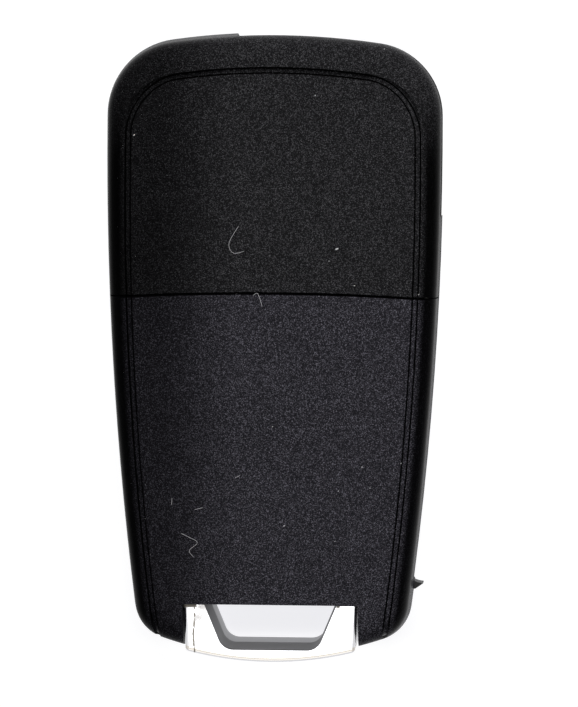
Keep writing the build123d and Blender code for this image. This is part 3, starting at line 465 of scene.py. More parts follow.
def moulded_shell(look, name, tone):
    """Black moulding with a fine spark-eroded grain, glinting here and there."""
    finish = Finish(name, specular_ior_level=0.004, coat_roughness=0.22)
    grain = finish.noise(look.grain, detail=3.0, roughness=0.65)
    spark = finish.grains(0.5 * look.grain)
    glints = spark * spark * spark
    glints = glints * glints
    cloud = finish.noise(20 * MM, detail=3.0)
    x, y, z = finish.axes()
    inside = inside_groove(x, y)
    # Painted shade: dark lines along the parting line, the border groove and the seam, where shade falls in
    # these crevices
    parting = 1 - abs(z - PARTING_Z).rise(0.3 * look.parting_width, look.parting_width)
    groove = 1 - abs(abs(inside) - GROOVE_HALF).rise(0.05 * MM, 0.14 * MM)
    seam = 1 - abs(inside_arc(x, y, SEAM) - SEAM_HALF).rise(0.10 * MM, 0.20 * MM)
    painted_crease_shade = parting.highest(groove.highest(seam) * (z > REAR_Z - REAR_DEPTH))
    # Painted light: the shells are painted darker towards the left and lighter towards the right, with a random
    # mottle over it
    painted_light_and_mottle = x.rise(*PAINTED_LIGHT_X) * 0.66 + cloud * 0.3 + 0.2
    # Painted shade: the rim outside the groove is painted darker up the side walls, less so towards the hub's
    # end
    rim_shade = (1 - inside.rise(*RIM)) * (1 - y.rise(*HUB_END_Y) * 0.9)
    rim_shade = rim_shade * z.rise(*RIM_SHADE_Z) * look.rim_shade
    finish.set(coat_weight=(1 - z.rise(*SIDE_GLOSS_Z)) * look.gloss)
    base = finish.blend(shade(tone, 1.3), shade(tone, look.sparkle), glints)
    base = finish.blend(BLACK, base, painted_light_and_mottle * (1 - rim_shade))
    finish.tint(base, shade(tone, 0.05), painted_crease_shade)
    finish.set(roughness=look.roughness + grain * 0.25 - spark * 0.15)
    finish.bump(grain + spark * 0.4 - painted_crease_shade * 1.5, look.grain_depth)
    return finish.material


def bright_plating(look, name, flaked):
    """Plating with faint smears, flaked along one line where it is asked for."""
    finish = Finish(name, specular_ior_level=0.5)
    x, y, z = finish.axes()
    smear = finish.noise(2.5 * MM, detail=4.0, roughness=0.6)
    pits = finish.noise(0.25 * MM, detail=1.0).rise(0.72, 0.78)
    metal = finish.blend(shade(look.metal, 0.93), shade(look.metal), smear)
    bare = pits * 0.25
    satin_and_painted_shade = 0.0
    if flaked:
        wander = (finish.noise(1.2 * MM, detail=3.0) - 0.5) * (4 * look.flake_width)
        line = 1 - abs(x - look.flake_x + wander).rise(0.4 * look.flake_width, look.flake_width)
        broken = finish.noise(0.5 * MM, detail=2.0).rise(0.30, 0.50)
        on_face = (y < LOOP_FACE_Y) * (z > LOOP_FACE_Z)
        scuff = finish.noise(1.6 * MM, detail=3.0).rise(0.48, 0.56) * y.rise(*LOOP_SCUFF_Y)
        smudge = (1 - abs(x - look.flake_x - 0.8 * MM).rise(0.3 * MM, 1.2 * MM)) * smear.rise(0.4, 0.7) * 0.5
        bare = bare.highest(((line * broken).highest(scuff).highest(smudge)) * on_face)
        # Painted highlight: a light beige line is painted along the loop's outer edge
        edge = 1 - abs(inside_arc(x, y, LOOP_END) - LOOP_EDGE).rise(0.1 * MM, 0.3 * MM)
        metal = finish.blend(metal, shade(look.edge), edge * 0.7)
        # Painted shade: the hole's walls are painted dark grey, darker towards the rear, with a near-black line
        # round the hole; they are also made satin and not metallic
        satin_and_painted_shade = (abs(x) < HOLE_HALF) * (y > HOLE_END_Y) * (z < HOLE_TOP_Z)
        upper, rim = z > HOLE_LOW_Z, z > HOLE_RIM_Z
        wall = finish.blend(shade(look.hole_shade_low), shade(look.hole_shade_high), upper)
        wall = finish.blend(wall, shade(look.hole_rim_shade), rim)
        satin_and_painted_shade = satin_and_painted_shade * (upper * 0.22 + rim * 0.3 + 0.45)
        metal = finish.blend(metal, wall, satin_and_painted_shade > 0.1)
    finish.tint(metal, shade(look.resin), bare)
    finish.set(metallic=(1 - bare) * (1 - satin_and_painted_shade))
    finish.set(roughness=smear * 0.06 + bare * 0.4 + satin_and_painted_shade * 0.5 + look.roughness)
    finish.bump(smear - bare * 2, 0.004 * MM, strength=0.3)
    return finish.material


def ground_steel(name, tone, turn=0.0, grain=(1.0, 0.02, 1.0), roughness=0.26):
    """Metal with fine grinding marks along one direction and faint stains."""
    finish = Finish(name, metallic=1.0)
    marks = finish.noise(0.06 * MM, detail=3.0, roughness=0.7, place=finish.stretched(grain, turn))
    stain = finish.noise(3.0 * MM, detail=3.0)
    finish.tint(shade(tone, 0.72), shade(tone, 1.12), marks * 0.6 + stain * 0.4)
    finish.set(roughness=roughness + marks * 0.16 + stain * 0.06)
    finish.bump(marks, 0.004 * MM, strength=0.6)
    return finish.material


def moulded_plain(name, tone, roughness, grain, depth, spread=0.25, **constants):
    """Even moulding with a light grain and soft differences of tone."""
    finish = Finish(name, **constants)
    fine = finish.noise(grain, detail=2.0)
    cloud = finish.noise(14 * grain, detail=2.0)
    level = fine * 0.5 + cloud * 0.5
    finish.tint(shade(tone, 1 - spread), shade(tone, 1 + spread), level)
    finish.set(roughness=roughness + (fine - 0.5) * 0.2)
    finish.bump(fine, depth)
    return finish.material


def solder_mask(look):
    """Green mask over traces that run square and slanting, with gilded vias."""
    finish = Finish("solder_mask", specular_ior_level=0.5, coat_roughness=0.12)
    cells = finish.cells(3.2 * MM, feature="DISTANCE_TO_EDGE")
    x, y, _ = finish.axes()
    lane_step = 0.9 * MM
    lanes = abs((x * (1 / lane_step)).fraction() - 0.5).rise(0.20, 0.27)
    rows = abs((y * (1 / lane_step)).fraction() - 0.5).rise(0.20, 0.27)
    areas = finish.noise(5.0 * MM, detail=0.0) > 0.5
    trace = (1 - lanes) * areas + (1 - rows) * (1 - areas)
    trace = trace * cells.rise(0.02, 0.05)
    via = finish.cells(2.4 * MM, feature="F1")
    ring = 1 - via.rise(0.11, 0.13)
    hole = 1 - via.rise(0.05, 0.06)
    base = finish.blend(shade(look.mask), shade(look.trace), trace)
    base = finish.blend(base, shade(look.copper), ring)
    finish.tint(base, (0.01, 0.01, 0.01, 1.0), hole)
    finish.set(metallic=ring * (1 - hole))
    finish.set(roughness=0.34 - ring * 0.06)
    finish.bump(trace.highest(ring) - hole, 0.03 * MM)
    return finish.material


def ended_ceramic(look):
    """Small ceramic bodies with tinned ends."""
    finish = Finish("ended_ceramic")
    low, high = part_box("passive_components")
    x, _, _ = finish.axes()
    middle = (low.x + high.x) / 2
    step = (high.x - low.x - PASSIVE_LENGTH) / 2
    ends = abs(abs(x - middle) - step).rise(0.44 * MM, 0.48 * MM)
    speckle = finish.noise(0.15 * MM)
    body = finish.blend(shade(look.ceramic, 0.8), shade(look.ceramic, 1.2), speckle)
    finish.tint(body, shade(look.tin), ends)
    finish.set(metallic=ends, roughness=0.5 - ends * 0.15 + speckle * 0.1)
    finish.bump(ends + speckle * 0.2, 0.02 * MM)
    return finish.material


def plunger_switch(look):
    """Tinned cover with a dark plunger in its middle."""
    finish = Finish("plunger_switch")
    _, _, z = finish.axes()
    body_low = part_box("lock_switch")[0].z
    plunger = 1 - z.rise(body_low + 0.12 * MM, body_low + 0.16 * MM)
    marks = finish.noise(0.2 * MM, detail=3.0)
    tin = finish.blend(shade(look.tin, 0.8), shade(look.tin), marks)
    finish.tint(tin, (0.03, 0.03, 0.03, 1.0), plunger)
    finish.set(metallic=1 - plunger, roughness=0.3 + marks * 0.15 + plunger * 0.2)
    finish.bump(marks, 0.01 * MM, strength=0.4)
    return finish.material


def moulded_package(look, name, node):
    """Epoxy package with a moulded dot at its first lead."""
    finish = Finish(name, specular_ior_level=0.4)
    low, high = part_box(node)
    x, y, z = finish.axes()
    from_corner = 0.7 * MM
    away_x = x - (low.x + from_corner)
    away_y = y - (high.y - from_corner)
    dot = 1 - (away_x * away_x + away_y * away_y).rise(0.04 * MM * MM, 0.07 * MM * MM)
    dot = dot * (z > high.z - 0.1 * MM)
    grain = finish.noise(0.08 * MM, detail=2.0)
    finish.tint(shade(look.epoxy, 0.7), shade(look.epoxy, 1.6), grain)
    finish.set(roughness=0.62 - dot * 0.25 + grain * 0.1)
    finish.bump(grain * 0.3 - dot, 0.02 * MM)
    return finish.material


def wound_core(look):
    """Ferrite ends with enamelled wire between them."""
    finish = Finish("wound_core")
    low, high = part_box("transponder_coil")
    x, _, _ = finish.axes()
    wound = (x > low.x + COIL_END - 0.02 * MM) * (x < high.x - COIL_END + 0.02 * MM)
    speckle = finish.noise(0.12 * MM, detail=2.0)
    ferrite = finish.blend((0.035, 0.033, 0.03, 1.0), (0.07, 0.066, 0.06, 1.0), speckle)
    finish.tint(ferrite, shade(look.wire, 0.5), wound)
    finish.set(roughness=0.6 - wound * 0.25 + speckle * 0.1, metallic=wound * 0.8)
    finish.bump(speckle, 0.02 * MM, strength=0.5)
    return finish.material


def cell_can(look):
    """Satin can of a coin cell, turned in rings, with a plus sign pressed in."""
    finish = Finish("cell_can", metallic=1.0)
    low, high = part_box("coin_cell")
    centre = (low + high) / 2
    x, y, _ = finish.axes()
    across, along = x - centre.x, y - centre.y
    radius = (across * across + along * along).root()
    ring = 1 - abs(radius - 8.6 * MM).rise(0.05 * MM, 0.16 * MM)
    stroke = (0.25 * MM, 0.32 * MM)
    reach, up = 1.3 * MM, along - 3.5 * MM
    upright = (1 - abs(across).rise(*stroke)) * (abs(up) < reach)
    level = (1 - abs(up).rise(*stroke)) * (abs(across) < reach)
    sign = upright.highest(level)
    turned = (radius * (1 / (0.05 * MM))).wave()
    stain = finish.noise(2.0 * MM, detail=4.0)
    finish.tint(shade(look.cell, 0.82), shade(look.cell, 1.05), stain)
    finish.set(roughness=0.28 + stain * 0.12 + sign * 0.15)
    finish.bump(turned * 0.03 + stain * 0.1 - ring - sign, 0.04 * MM)
    return finish.material


def driven_screw(look, name, node):
    """Plated screw, with painted shade inside its recess."""
    finish = Finish(name, metallic=1.0)
    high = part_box(node)[1]
    _, _, z = finish.axes()
    marks = finish.noise(0.12 * MM, detail=3.0)
    # Painted shade: darker inside the recess, with random marks
    sunk = 1 - z.rise(high.z - 0.48 * MM, high.z - 0.2 * MM)
    finish.tint(shade(look.screw), shade(look.screw, 0.45), sunk * 0.5 + marks * 0.3)
    finish.set(roughness=0.28 + marks * 0.18)
    finish.bump(marks, 0.01 * MM, strength=0.5)
    return finish.material


def linked(name, data):
    """Object with this data, in the scene."""
    holder = bpy.data.objects.new(name, data)
    bpy.context.scene.collection.objects.link(holder)
    return holder


def new_piece(name, vertices, edges=(), faces=()):
    """Object at the origin with its place in its mesh."""
    mesh = bpy.data.meshes.new(name)
    mesh.from_pydata([tuple(v) for v in vertices], list(edges), list(faces))
    return linked(name, mesh)


class Rule(Tree):
    """A geometry tree with named inputs, and what it makes of an object."""

    KINDS = {float: "NodeSocketFloat", int: "NodeSocketInt", bpy.types.Material: "NodeSocketMaterial"}

    def __init__(self, name, **inputs):
        group = bpy.data.node_groups.new(name, "GeometryNodeTree")
        group.interface.new_socket("Geometry", in_out="INPUT", socket_type="NodeSocketGeometry")
        group.interface.new_socket("Geometry", in_out="OUTPUT", socket_type="NodeSocketGeometry")
        self.values = {}
        for key, value in inputs.items():
            kind = next(kind for base, kind in self.KINDS.items() if isinstance(value, base))
            socket = group.interface.new_socket(key.replace("_", " "), in_out="INPUT", socket_type=kind)
            self.values[socket.identifier] = value
        super().__init__(group)
        self.start = group.nodes.new("NodeGroupInput")
        self.end = group.nodes.new("NodeGroupOutput")

    def input(self, name):
        return Socket(self, self.start.outputs[name])

    def points(self):
        """The mesh that the rule runs on."""
        return Socket(self, self.start.outputs[0])

    def vector(self, x=0.0, y=0.0, z=0.0):
        return self.node("ShaderNodeCombineXYZ", {0: x, 1: y, 2: z})

    def circle(self, resolution, radius):
        return self.node("GeometryNodeCurvePrimitiveCircle", {"Resolution": resolution, "Radius": radius})

    def sweep(self, path, profile, capped=True):
        """Surface that a profile leaves along a path."""
        values = {"Curve": path, "Profile Curve": profile, "Fill Caps": capped}
        return self.node("GeometryNodeCurveToMesh", values)

    def repeat(self, points, instance, **values):
        """A copy of an instance on each point."""
        return self.node("GeometryNodeInstanceOnPoints", {"Points": points, "Instance": instance, **values})

    def random(self, low, high):
        """A random vector for each point."""
        values = {"Min": low, "Max": high, "Seed": self.input("Seed")}
        return self.node("FunctionNodeRandomValue", values, data_type="FLOAT_VECTOR")

    def close(self, geometry, smooth=True):
        """Ends the tree in real meshes with the material of its input."""
        real = self.node("GeometryNodeRealizeInstances", {0: geometry})
        shaded = self.node("GeometryNodeSetShadeSmooth", {"Geometry": real, "Shade Smooth": smooth})
        values = {"Geometry": shaded, "Material": self.input("Material")}
        dressed = self.node("GeometryNodeSetMaterial", values)
        self.tree.links.new(dressed.output, self.end.inputs[0])

    def apply(self, piece):
        """Runs the tree on a piece and leaves a plain mesh."""
        modifier = piece.modifiers.new(self.tree.name, "NODES")
        modifier.node_group = self.tree
        for identifier, value in self.values.items():
            modifier[identifier] = value
        evaluated = piece.evaluated_get(bpy.context.evaluated_depsgraph_get())
        mesh = bpy.data.meshes.new_from_object(evaluated)
        piece.modifiers.clear()
        piece.data = mesh
        return piece


def winding_rule(material, count, pitch, radius, wire_radius):
    """Turns of wire side by side along X."""
    rule = Rule(
        "Winding turns", Count=count, Pitch=pitch, Turn_Radius=radius, Wire_Radius=wire_radius, Material=material
    )
    offset = rule.vector(x=rule.input("Pitch"))
    points = rule.node("GeometryNodeMeshLine", {"Count": rule.input("Count"), "Offset": offset})
    turn = rule.circle(32, rule.input("Turn Radius"))
    loop = rule.sweep(turn, rule.circle(6, rule.input("Wire Radius")), capped=False)
    placed = rule.repeat(points, loop, Rotation=(0, math.pi / 2, 0))
    rule.close(rule.repeat(rule.points(), placed))
    return rule


def thread_rule(material, turns, length_along, radius, height):
    """A ridge that winds down a screw's shank from each point."""
    rule = Rule(
        "Screw thread", Turns=turns, Length=length_along, Shank_Radius=radius, Height=height, Material=material
    )
    radii = dict.fromkeys(("Start Radius", "End Radius"), rule.input("Shank Radius"))
    values = {"Resolution": 24, "Rotations": rule.input("Turns"), "Height": rule.input("Length"), **radii}
    spiral = rule.node("GeometryNodeCurveSpiral", values)
    thread = rule.sweep(spiral, rule.circle(4, rule.input("Height")))
    rule.close(rule.repeat(rule.points(), thread), smooth=False)
    return rule


def lead_rule(material, package, pitch, count, lead_width, lead_length, lead_height):
    """Leads in a row on each of a package's four sides, about each point."""
    lead = {"Lead_Width": lead_width, "Lead_Length": lead_length, "Lead_Height": lead_height}
    rule = Rule("Package leads", Half_Package=package / 2, Pitch=pitch, Count=count, Material=material, **lead)
    pitch_in, count_in = rule.input("Pitch"), rule.input("Count")
    run = (count_in - 1) * pitch_in * -0.5
    start = rule.vector(rule.input("Half Package"), run, rule.input("Lead Height") * 0.5)
    values = {"Count": count_in, "Start Location": start, "Offset": rule.vector(y=pitch_in)}
    row = rule.node("GeometryNodeMeshLine", values)
    size = rule.vector(rule.input("Lead Length"), rule.input("Lead Width"), rule.input("Lead Height"))
    lead = rule.node("GeometryNodeMeshCube", {"Size": size})
    side = rule.repeat(row, lead)
    corners = rule.node("GeometryNodeMeshLine", {"Count": 4, "Offset": (0, 0, 0)})
    turn = rule.node("GeometryNodeInputIndex") * (math.pi / 2)
    sides = rule.repeat(corners, side, Rotation=rule.vector(z=turn))
    rule.close(rule.repeat(rule.points(), sides), smooth=False)
    return rule


def wire_rule(material, radius):
    """Round wire along the edges of a mesh."""
    rule = Rule("Bent wire", Wire_Radius=radius, Material=material)
    path = rule.node("GeometryNodeMeshToCurve", {0: rule.points()})
    rule.close(rule.sweep(path, rule.circle(12, rule.input("Wire Radius"))))
    return rule


def lint_rule(material, radius):
    """Fibres along the edges of a mesh, rounded into smooth bends."""
    rule = Rule("Lint fibres", Radius=radius, Material=material)
    path = rule.node("GeometryNodeMeshToCurve", {0: rule.points()})
    path = rule.node("GeometryNodeCurveSplineType", {"Curve": path}, spline_type="CATMULL_ROM")
    path = rule.node("GeometryNodeResampleCurve", {"Curve": path, "Count": 24})
    rule.close(rule.sweep(path, rule.circle(6, rule.input("Radius"))))
    return rule


def fleck_rule(material, density, size, seed):
    """Fine flecks scattered over the faces of a mesh."""
    rule = Rule("Scattered flecks", Density=density, Size=size, Seed=seed, Material=material)
    values = {"Mesh": rule.points(), "Density": rule.input("Density"), "Seed": rule.input("Seed")}
    spots = rule.node("GeometryNodeDistributePointsOnFaces", values)
    grain = rule.node("GeometryNodeMeshIcoSphere", {"Radius": rule.input("Size"), "Subdivisions": 1})
    scale = rule.random((0.3, 0.3, 0.2), (1.0, 0.7, 0.4))
    turn = rule.random((0, 0, 0), (0, 0, math.tau))
    rule.close(rule.repeat(spots, grain, Scale=scale, Rotation=turn))
    return rule


def named_fleck_rule(material, seed):
    """One fleck on each vertex, as large as the vertex's size attribute says."""
    rule = Rule("Named flecks", Seed=seed, Material=material)
    size = rule.node("GeometryNodeInputNamedAttribute", {"Name": "size"}, data_type="FLOAT")
    grain = rule.node("GeometryNodeMeshIcoSphere", {"Radius": 1.0, "Subdivisions": 2})
    scale = rule.vector(size, size * 0.5, size * 0.35)
    turn = rule.random((0, 0, 0.2), (0, 0, 1.2))
    rule.close(rule.repeat(rule.points(), grain, Scale=scale, Rotation=turn))
    return rule


def rear_surface():
    """Finds the height of the rear face under a place."""
    trees = []
    for name in ("rear_shell", "battery_cover"):
        mesh = NODES[name].data
        places = [vertex.co for vertex in mesh.vertices]
        trees.append(BVHTree.FromPolygons(places, [tuple(face.vertices) for face in mesh.polygons]))

    def height(x, y):
        hits = [tree.ray_cast(Vector((x, y, 2 * REAR_Z)), Vector((0, 0, -1)))[0] for tree in trees]
        return max(hit.z for hit in hits if hit)

    return height


def upward_faces(node, steepest=0.75):
    """Vertices and faces of a node's outer rear face."""
    mesh = NODES[node].data
    chosen = [p for p in mesh.polygons if p.normal.z > steepest and p.center.z > REAR_Z - 1.5 * MM]
    used = sorted({v for p in chosen for v in p.vertices})
    order = {v: i for i, v in enumerate(used)}
    return [mesh.vertices[v].co for v in used], [[order[v] for v in p.vertices] for p in chosen]


def arc(centre, radius, start, end, steps=16):
    """Points of an arc between two angles in degrees."""
    turns = [math.radians(start + (end - start) * step / steps) for step in range(steps + 1)]
    return [(centre[0] + radius * math.cos(t), centre[1] + radius * math.sin(t)) for t in turns]


def rounded(half, bottom, top, radius):
    """Points of a rectangle with round corners, as wide on both sides of the middle."""
    x, low, high = half - radius, bottom + radius, top - radius
    corners = enumerate(((x, high), (-x, high), (-x, low), (x, low)))
    return [point for i, corner in corners for point in arc(corner, radius, 90 * i, 90 * i + 90, 6)]


def shackle(x, y, outer=0.95, inner=0.62, foot=0.3):
    """Padlock's bow, standing on its two feet."""
    bow = [(x + outer, y - foot), *arc((x, y), outer, 0, 180), (x - outer, y - foot)]
    return bow + [(x - inner, y - foot), *arc((x, y), inner, 180, 0), (x + inner, y - foot)]


def band(low, high, centre=(-0.2, 0), spread=38):
    """Curved stroke, as a sound wave is drawn."""
    return arc(centre, high, -spread, spread) + arc(centre, low, spread, -spread)


def padlock(bow_x, bow_y):
    """Padlock with its bow shut or swung open."""
    return [rounded(1.35, -1.5, 0.4, 0.25), arc((0, -0.5), 0.3, 0, 359), shackle(bow_x, bow_y)]


def open_boot():
    """Car from the side with its boot open."""
    body = [(-2.0, -0.32), (-2.0, 0.1), (-1.7, 0.34), (-1.05, 0.45), (-0.5, 1.0), (0.6, 1.0)]
    body += [(1.1, 0.45), (1.75, 0.32), (2.0, 0.1), (2.0, -0.32)]
    lid = [(-1.1, 0.62), (-1.9, 1.28), (-1.78, 1.42), (-0.98, 0.76)]
    wheels = [arc((side * 1.15, -0.68), 0.3, 0, 359) for side in (-1, 1)]
    glass = [(-0.72, 0.5), (-0.36, 0.86), (0.48, 0.86), (0.82, 0.5)]
    return [body, lid, glass, *wheels]


def horn():
    """Horn with two sound waves."""
    cone = [(-1.7, -0.4), (-1.7, 0.4), (-1.1, 0.4), (0.1, 1.15), (0.1, -1.15), (-1.1, -0.4)]
    return [cone, band(0.95, 1.15), band(1.5, 1.7)]


SIGNS = {
    "lock": lambda: padlock(0.0, 0.72),
    "unlock": lambda: padlock(1.57, 0.72),
    "trunk": open_boot,
    "alarm": horn,
}


def sign_piece(cap, look, material):
    """Printed sign on a cap's outer face, upright when the front is looked at."""
    low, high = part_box(f"{cap}_button")
    sunk = 0.005 * MM
    outline = bpy.data.curves.new(f"{cap}_sign", "CURVE")
    outline.dimensions, outline.fill_mode = "2D", "BOTH"
    outline.extrude = look.ink_thickness / 2
    for points in SIGNS[cap]():
        spline = outline.splines.new("POLY")
        spline.points.add(len(points) - 1)
        for point, (x, y) in zip(spline.points, points):
            point.co = (x * MM * look.sign_scale, y * MM * look.sign_scale, 0, 1)
        spline.use_cyclic_u = True
    drawn = bpy.data.objects.new(outline.name, outline)
    mesh = bpy.data.meshes.new_from_object(drawn)
    bpy.data.objects.remove(drawn)
    centre = (low + high) / 2
    place = Vector((centre.x, centre.y, low.z - look.ink_thickness / 2 + sunk))
    mesh.transform(Matrix.Translation(place) @ Matrix.Rotation(math.pi, 4, "Y"))
    mesh.materials.append(material)
    return linked(outline.name, mesh)


class DressShells(Operator):
    """Give the three housing pieces their textured black moulding"""

    bl_idname = "flip_key.dress_shells"
    bl_label = "Housing"

    def execute(self, context):
        look = context.scene.flip_key_shell
        dress(moulded_shell(look, "upper_moulding", look.upper), "rear_shell")
        dress(moulded_shell(look, "cover_moulding", look.lower), "battery_cover")
        dress(moulded_shell(look, "front_moulding", look.front), "front_shell")
        return {"FINISHED"}


class DressPlating(Operator):
    """Plate the key ring loop and the release button"""

    bl_idname = "flip_key.dress_plating"
    bl_label = "Loop and release button"

    def execute(self, context):
        look = context.scene.flip_key_plating
        dress(bright_plating(look, "loop_plating", True), "key_ring_loop")
        dress(bright_plating(look, "button_plating", False), "release_button")
        return {"FINISHED"}


class DressBlade(Operator):
    """Grind the blade and finish its pin"""

    bl_idname = "flip_key.dress_blade"
    bl_label = "Blade"

    def execute(self, context):
        look = context.scene.flip_key_steel
        dress(ground_steel("blade_metal", look.blade, turn=FOLD_TILT), "key_blade")
        dress(ground_steel("pin_metal", look.spring, grain=(1.0, 1.0, 0.1)), "blade_pin")
        return {"FINISHED"}


class DressHub(Operator):
    """Finish the hub, its spring and its washer"""

    bl_idname = "flip_key.dress_hub"
    bl_label = "Hub"

    def execute(self, context):
        shell, steel = context.scene.flip_key_shell, context.scene.flip_key_steel
        dress(moulded_plain("hub_moulding", shell.front, 0.42, 0.3 * MM, 0.008 * MM), "blade_hub")
        spring = ground_steel("spring_wire", steel.spring, grain=(1.0, 1.0, 1.0), roughness=0.3)
        clips = ground_steel("clip_strip", steel.spring, grain=(1.0, 0.05, 1.0), roughness=0.22)
        dress(spring, "hub_washer")
        dress(clips, "battery_clip_positive", "battery_spring_negative")
        self.wind(spring, steel)
        return {"FINISHED"}

    def wind(self, metal, look):
        """Coil of the hub spring, and the leg that the shell's post holds."""
        low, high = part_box("hub_spring")
        wire = look.spring_wire / 2
        radius = (high.x - low.x) / 2 - wire
        centre = (low + high) / 2
        start, end = low.z + wire, high.z - wire
        steps = round(look.spring_turns * 32)
        path = []
        for step in range(steps + 1):
            turn = math.tau * look.spring_turns * step / steps
            rise = start + (end - start) * step / steps
            path.append((centre.x + radius * math.cos(turn), centre.y + radius * math.sin(turn), rise))
        coil = new_piece("hub_spring_coil", path, [(i, i + 1) for i in range(steps)])
        ends = [(centre.x + side * radius, centre.y, end) for side in (-1, 1)]
        leg = new_piece("hub_spring_leg", ends, [(0, 1)])
        rule = wire_rule(metal, wire)
        for piece, body in ((coil, "hub"), (leg, "housing")):
            rule.apply(piece)
            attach(piece, body)
        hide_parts("hub_spring")
        press = next(j for j in frame["record"]["behaviour"]["joints"] if j["name"] == "release_press")
        keep = 1 - press["range_m"][1] / (high.z - low.z)
        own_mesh(coil)


class DressCaps(Operator):
    """Finish the four button caps and the mat, and print the signs"""

    bl_idname = "flip_key.dress_caps"
    bl_label = "Buttons"

    def execute(self, context):
        look = context.scene.flip_key_caps
        rubber = moulded_plain("soft_touch", look.rubber, 0.62, 0.12 * MM, 0.008 * MM, specular_ior_level=0.35)
        dress(rubber, *[f"{cap}_button" for cap in CAPS])
        dress(moulded_plain("silicone_mat", look.silicone, 0.5, 0.4 * MM, 0.006 * MM, 0.08), "keypad_mat")
        ink = moulded_plain("sign_ink", look.ink, 0.55, 0.1 * MM, 0.003 * MM, 0.1)
        for cap in CAPS:
            sign = sign_piece(cap, look, ink)
            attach(sign, f"{cap}_cap")
        return {"FINISHED"}


class DressBoard(Operator):
    """Finish the board and its components, with leads and a winding"""

    bl_idname = "flip_key.dress_board"
    bl_label = "Circuit board"

    def execute(self, context):
        look = context.scene.flip_key_board
        dress(solder_mask(look), "circuit_board")
        dress(ended_ceramic(look), "passive_components")
        dress(plunger_switch(look), *[f"{cap}_switch" for cap in CAPS])
        tinned = ground_steel("tinned_cover", look.tin, grain=(1.0, 0.2, 1.0))
        dress(tinned, "crystal")
        dress(wound_core(look), "transponder_coil")
        for name in ("microcontroller_chip", "radio_chip"):
            dress(moulded_package(look, f"{name}_epoxy", name), name)
            low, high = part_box(name)
            centre = Vector(((low.x + high.x) / 2, (low.y + high.y) / 2, low.z))
            width = high.x - low.x
            count = int(width / look.lead_pitch) - 1
            lead = (look.lead_width, look.lead_length, look.lead_height)
            rule = lead_rule(tinned, width, look.lead_pitch, count, *lead)
            leads = rule.apply(new_piece(f"{name}_leads", [centre]))
            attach(leads, "housing")
        self.wind(look)
        return {"FINISHED"}

    def wind(self, look):
        """The coil's turns between its two ferrite ends."""
        low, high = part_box("transponder_coil")
        wire = ground_steel("enamelled_wire", look.wire, grain=(1.0, 1.0, 1.0), roughness=0.24)
        pitch = 2.05 * look.wire_radius
        run = high.x - low.x - 2 * COIL_END - 2 * look.wire_radius
        count = int(run / pitch)
        radius = (high.y - low.y) / 2 - 0.1 * MM
        start = Vector((low.x + COIL_END + look.wire_radius, (low.y + high.y) / 2, (low.z + high.z) / 2))
        rule = winding_rule(wire, count, pitch, radius, look.wire_radius)
        turns = rule.apply(new_piece("coil_winding", [start]))
        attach(turns, "housing")


class DressPower(Operator):
    """Finish the coin cell and its tray"""

    bl_idname = "flip_key.dress_power"
    bl_label = "Cell and tray"

    def execute(self, context):
        board, steel = context.scene.flip_key_board, context.scene.flip_key_steel
        dress(cell_can(steel), "coin_cell")
        tray = moulded_plain("tray_nylon", board.nylon, 0.45, 0.5 * MM, 0.01 * MM, 0.06)
        dress(tray, "battery_tray")
        return {"FINISHED"}


class DressScrews(Operator):
    """Finish the screws and cut their threads"""

    bl_idname = "flip_key.dress_screws"
    bl_label = "Screws"

    def execute(self, context):
        look = context.scene.flip_key_steel
        for node in ("case_screw", "loop_screws"):
            metal = driven_screw(look, f"{node}_metal", node)
            dress(metal, node)
            low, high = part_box(node)
            y = (low.y + high.y) / 2
            places = sorted({round(low.x + SCREW_HEAD / 2, 6), round(high.x - SCREW_HEAD / 2, 6)})
            run = high.z - SCREW_HEAD_HEIGHT - low.z - look.thread_pitch
            rule = thread_rule(metal, run / look.thread_pitch, run, THREAD_RADIUS, look.thread_height)
            start_z = low.z + look.thread_pitch / 3
            thread = rule.apply(new_piece(f"{node}_thread", [(x, y, start_z) for x in places]))
            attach(thread, "housing")
        return {"FINISHED"}


class LayDust(Operator):
    """Lay the lint and flecks that cling to the rear face"""

    bl_idname = "flip_key.lay_dust"
    bl_label = "Lint and dust"

    def execute(self, context):
        look = context.scene.flip_key_dust
        dust = moulded_plain("dust", look.colour, 0.8, 0.1 * MM, 0.002 * MM, 0.3)
        height = rear_surface()
        for node, body, upper in (("rear_shell", "housing", True), ("battery_cover", "cover", False)):
            routes = [r for r in LINT_ROUTES if (r[0][1] * MM > COVER_TOP_Y) == upper]
            points, edges = [], []
            for route in routes:
                first = len(points)
                points += [self.settle(x, y, height, look.fibre_radius) for x, y in route]
                edges += [(first + i, first + i + 1) for i in range(len(route) - 1)]
            lint = lint_rule(dust, look.fibre_radius).apply(new_piece(f"{node}_lint", points, edges))
            flecks = [f for f in FLECKS if (f[1] * MM > COVER_TOP_Y) == upper]
            marks = new_piece(f"{node}_flecks", [self.settle(x, y, height, 0.0) for x, y, _ in flecks])
            sizes = marks.data.attributes.new("size", "FLOAT", "POINT")
            for value, (_, _, size) in zip(sizes.data, flecks):
                value.value = size * MM
            marks = named_fleck_rule(dust, look.seed).apply(marks)
            vertices, faces = upward_faces(node)
            fine = new_piece(f"{node}_dust", vertices, (), faces)
            fine = fleck_rule(dust, look.density, look.fleck_size, look.seed).apply(fine)
            for piece in (lint, marks, fine):
                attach(piece, body)
        return {"FINISHED"}

    def settle(self, x, y, height, lift):
        return Vector((x * MM, y * MM, height(x * MM, y * MM) - 0.3 * lift))


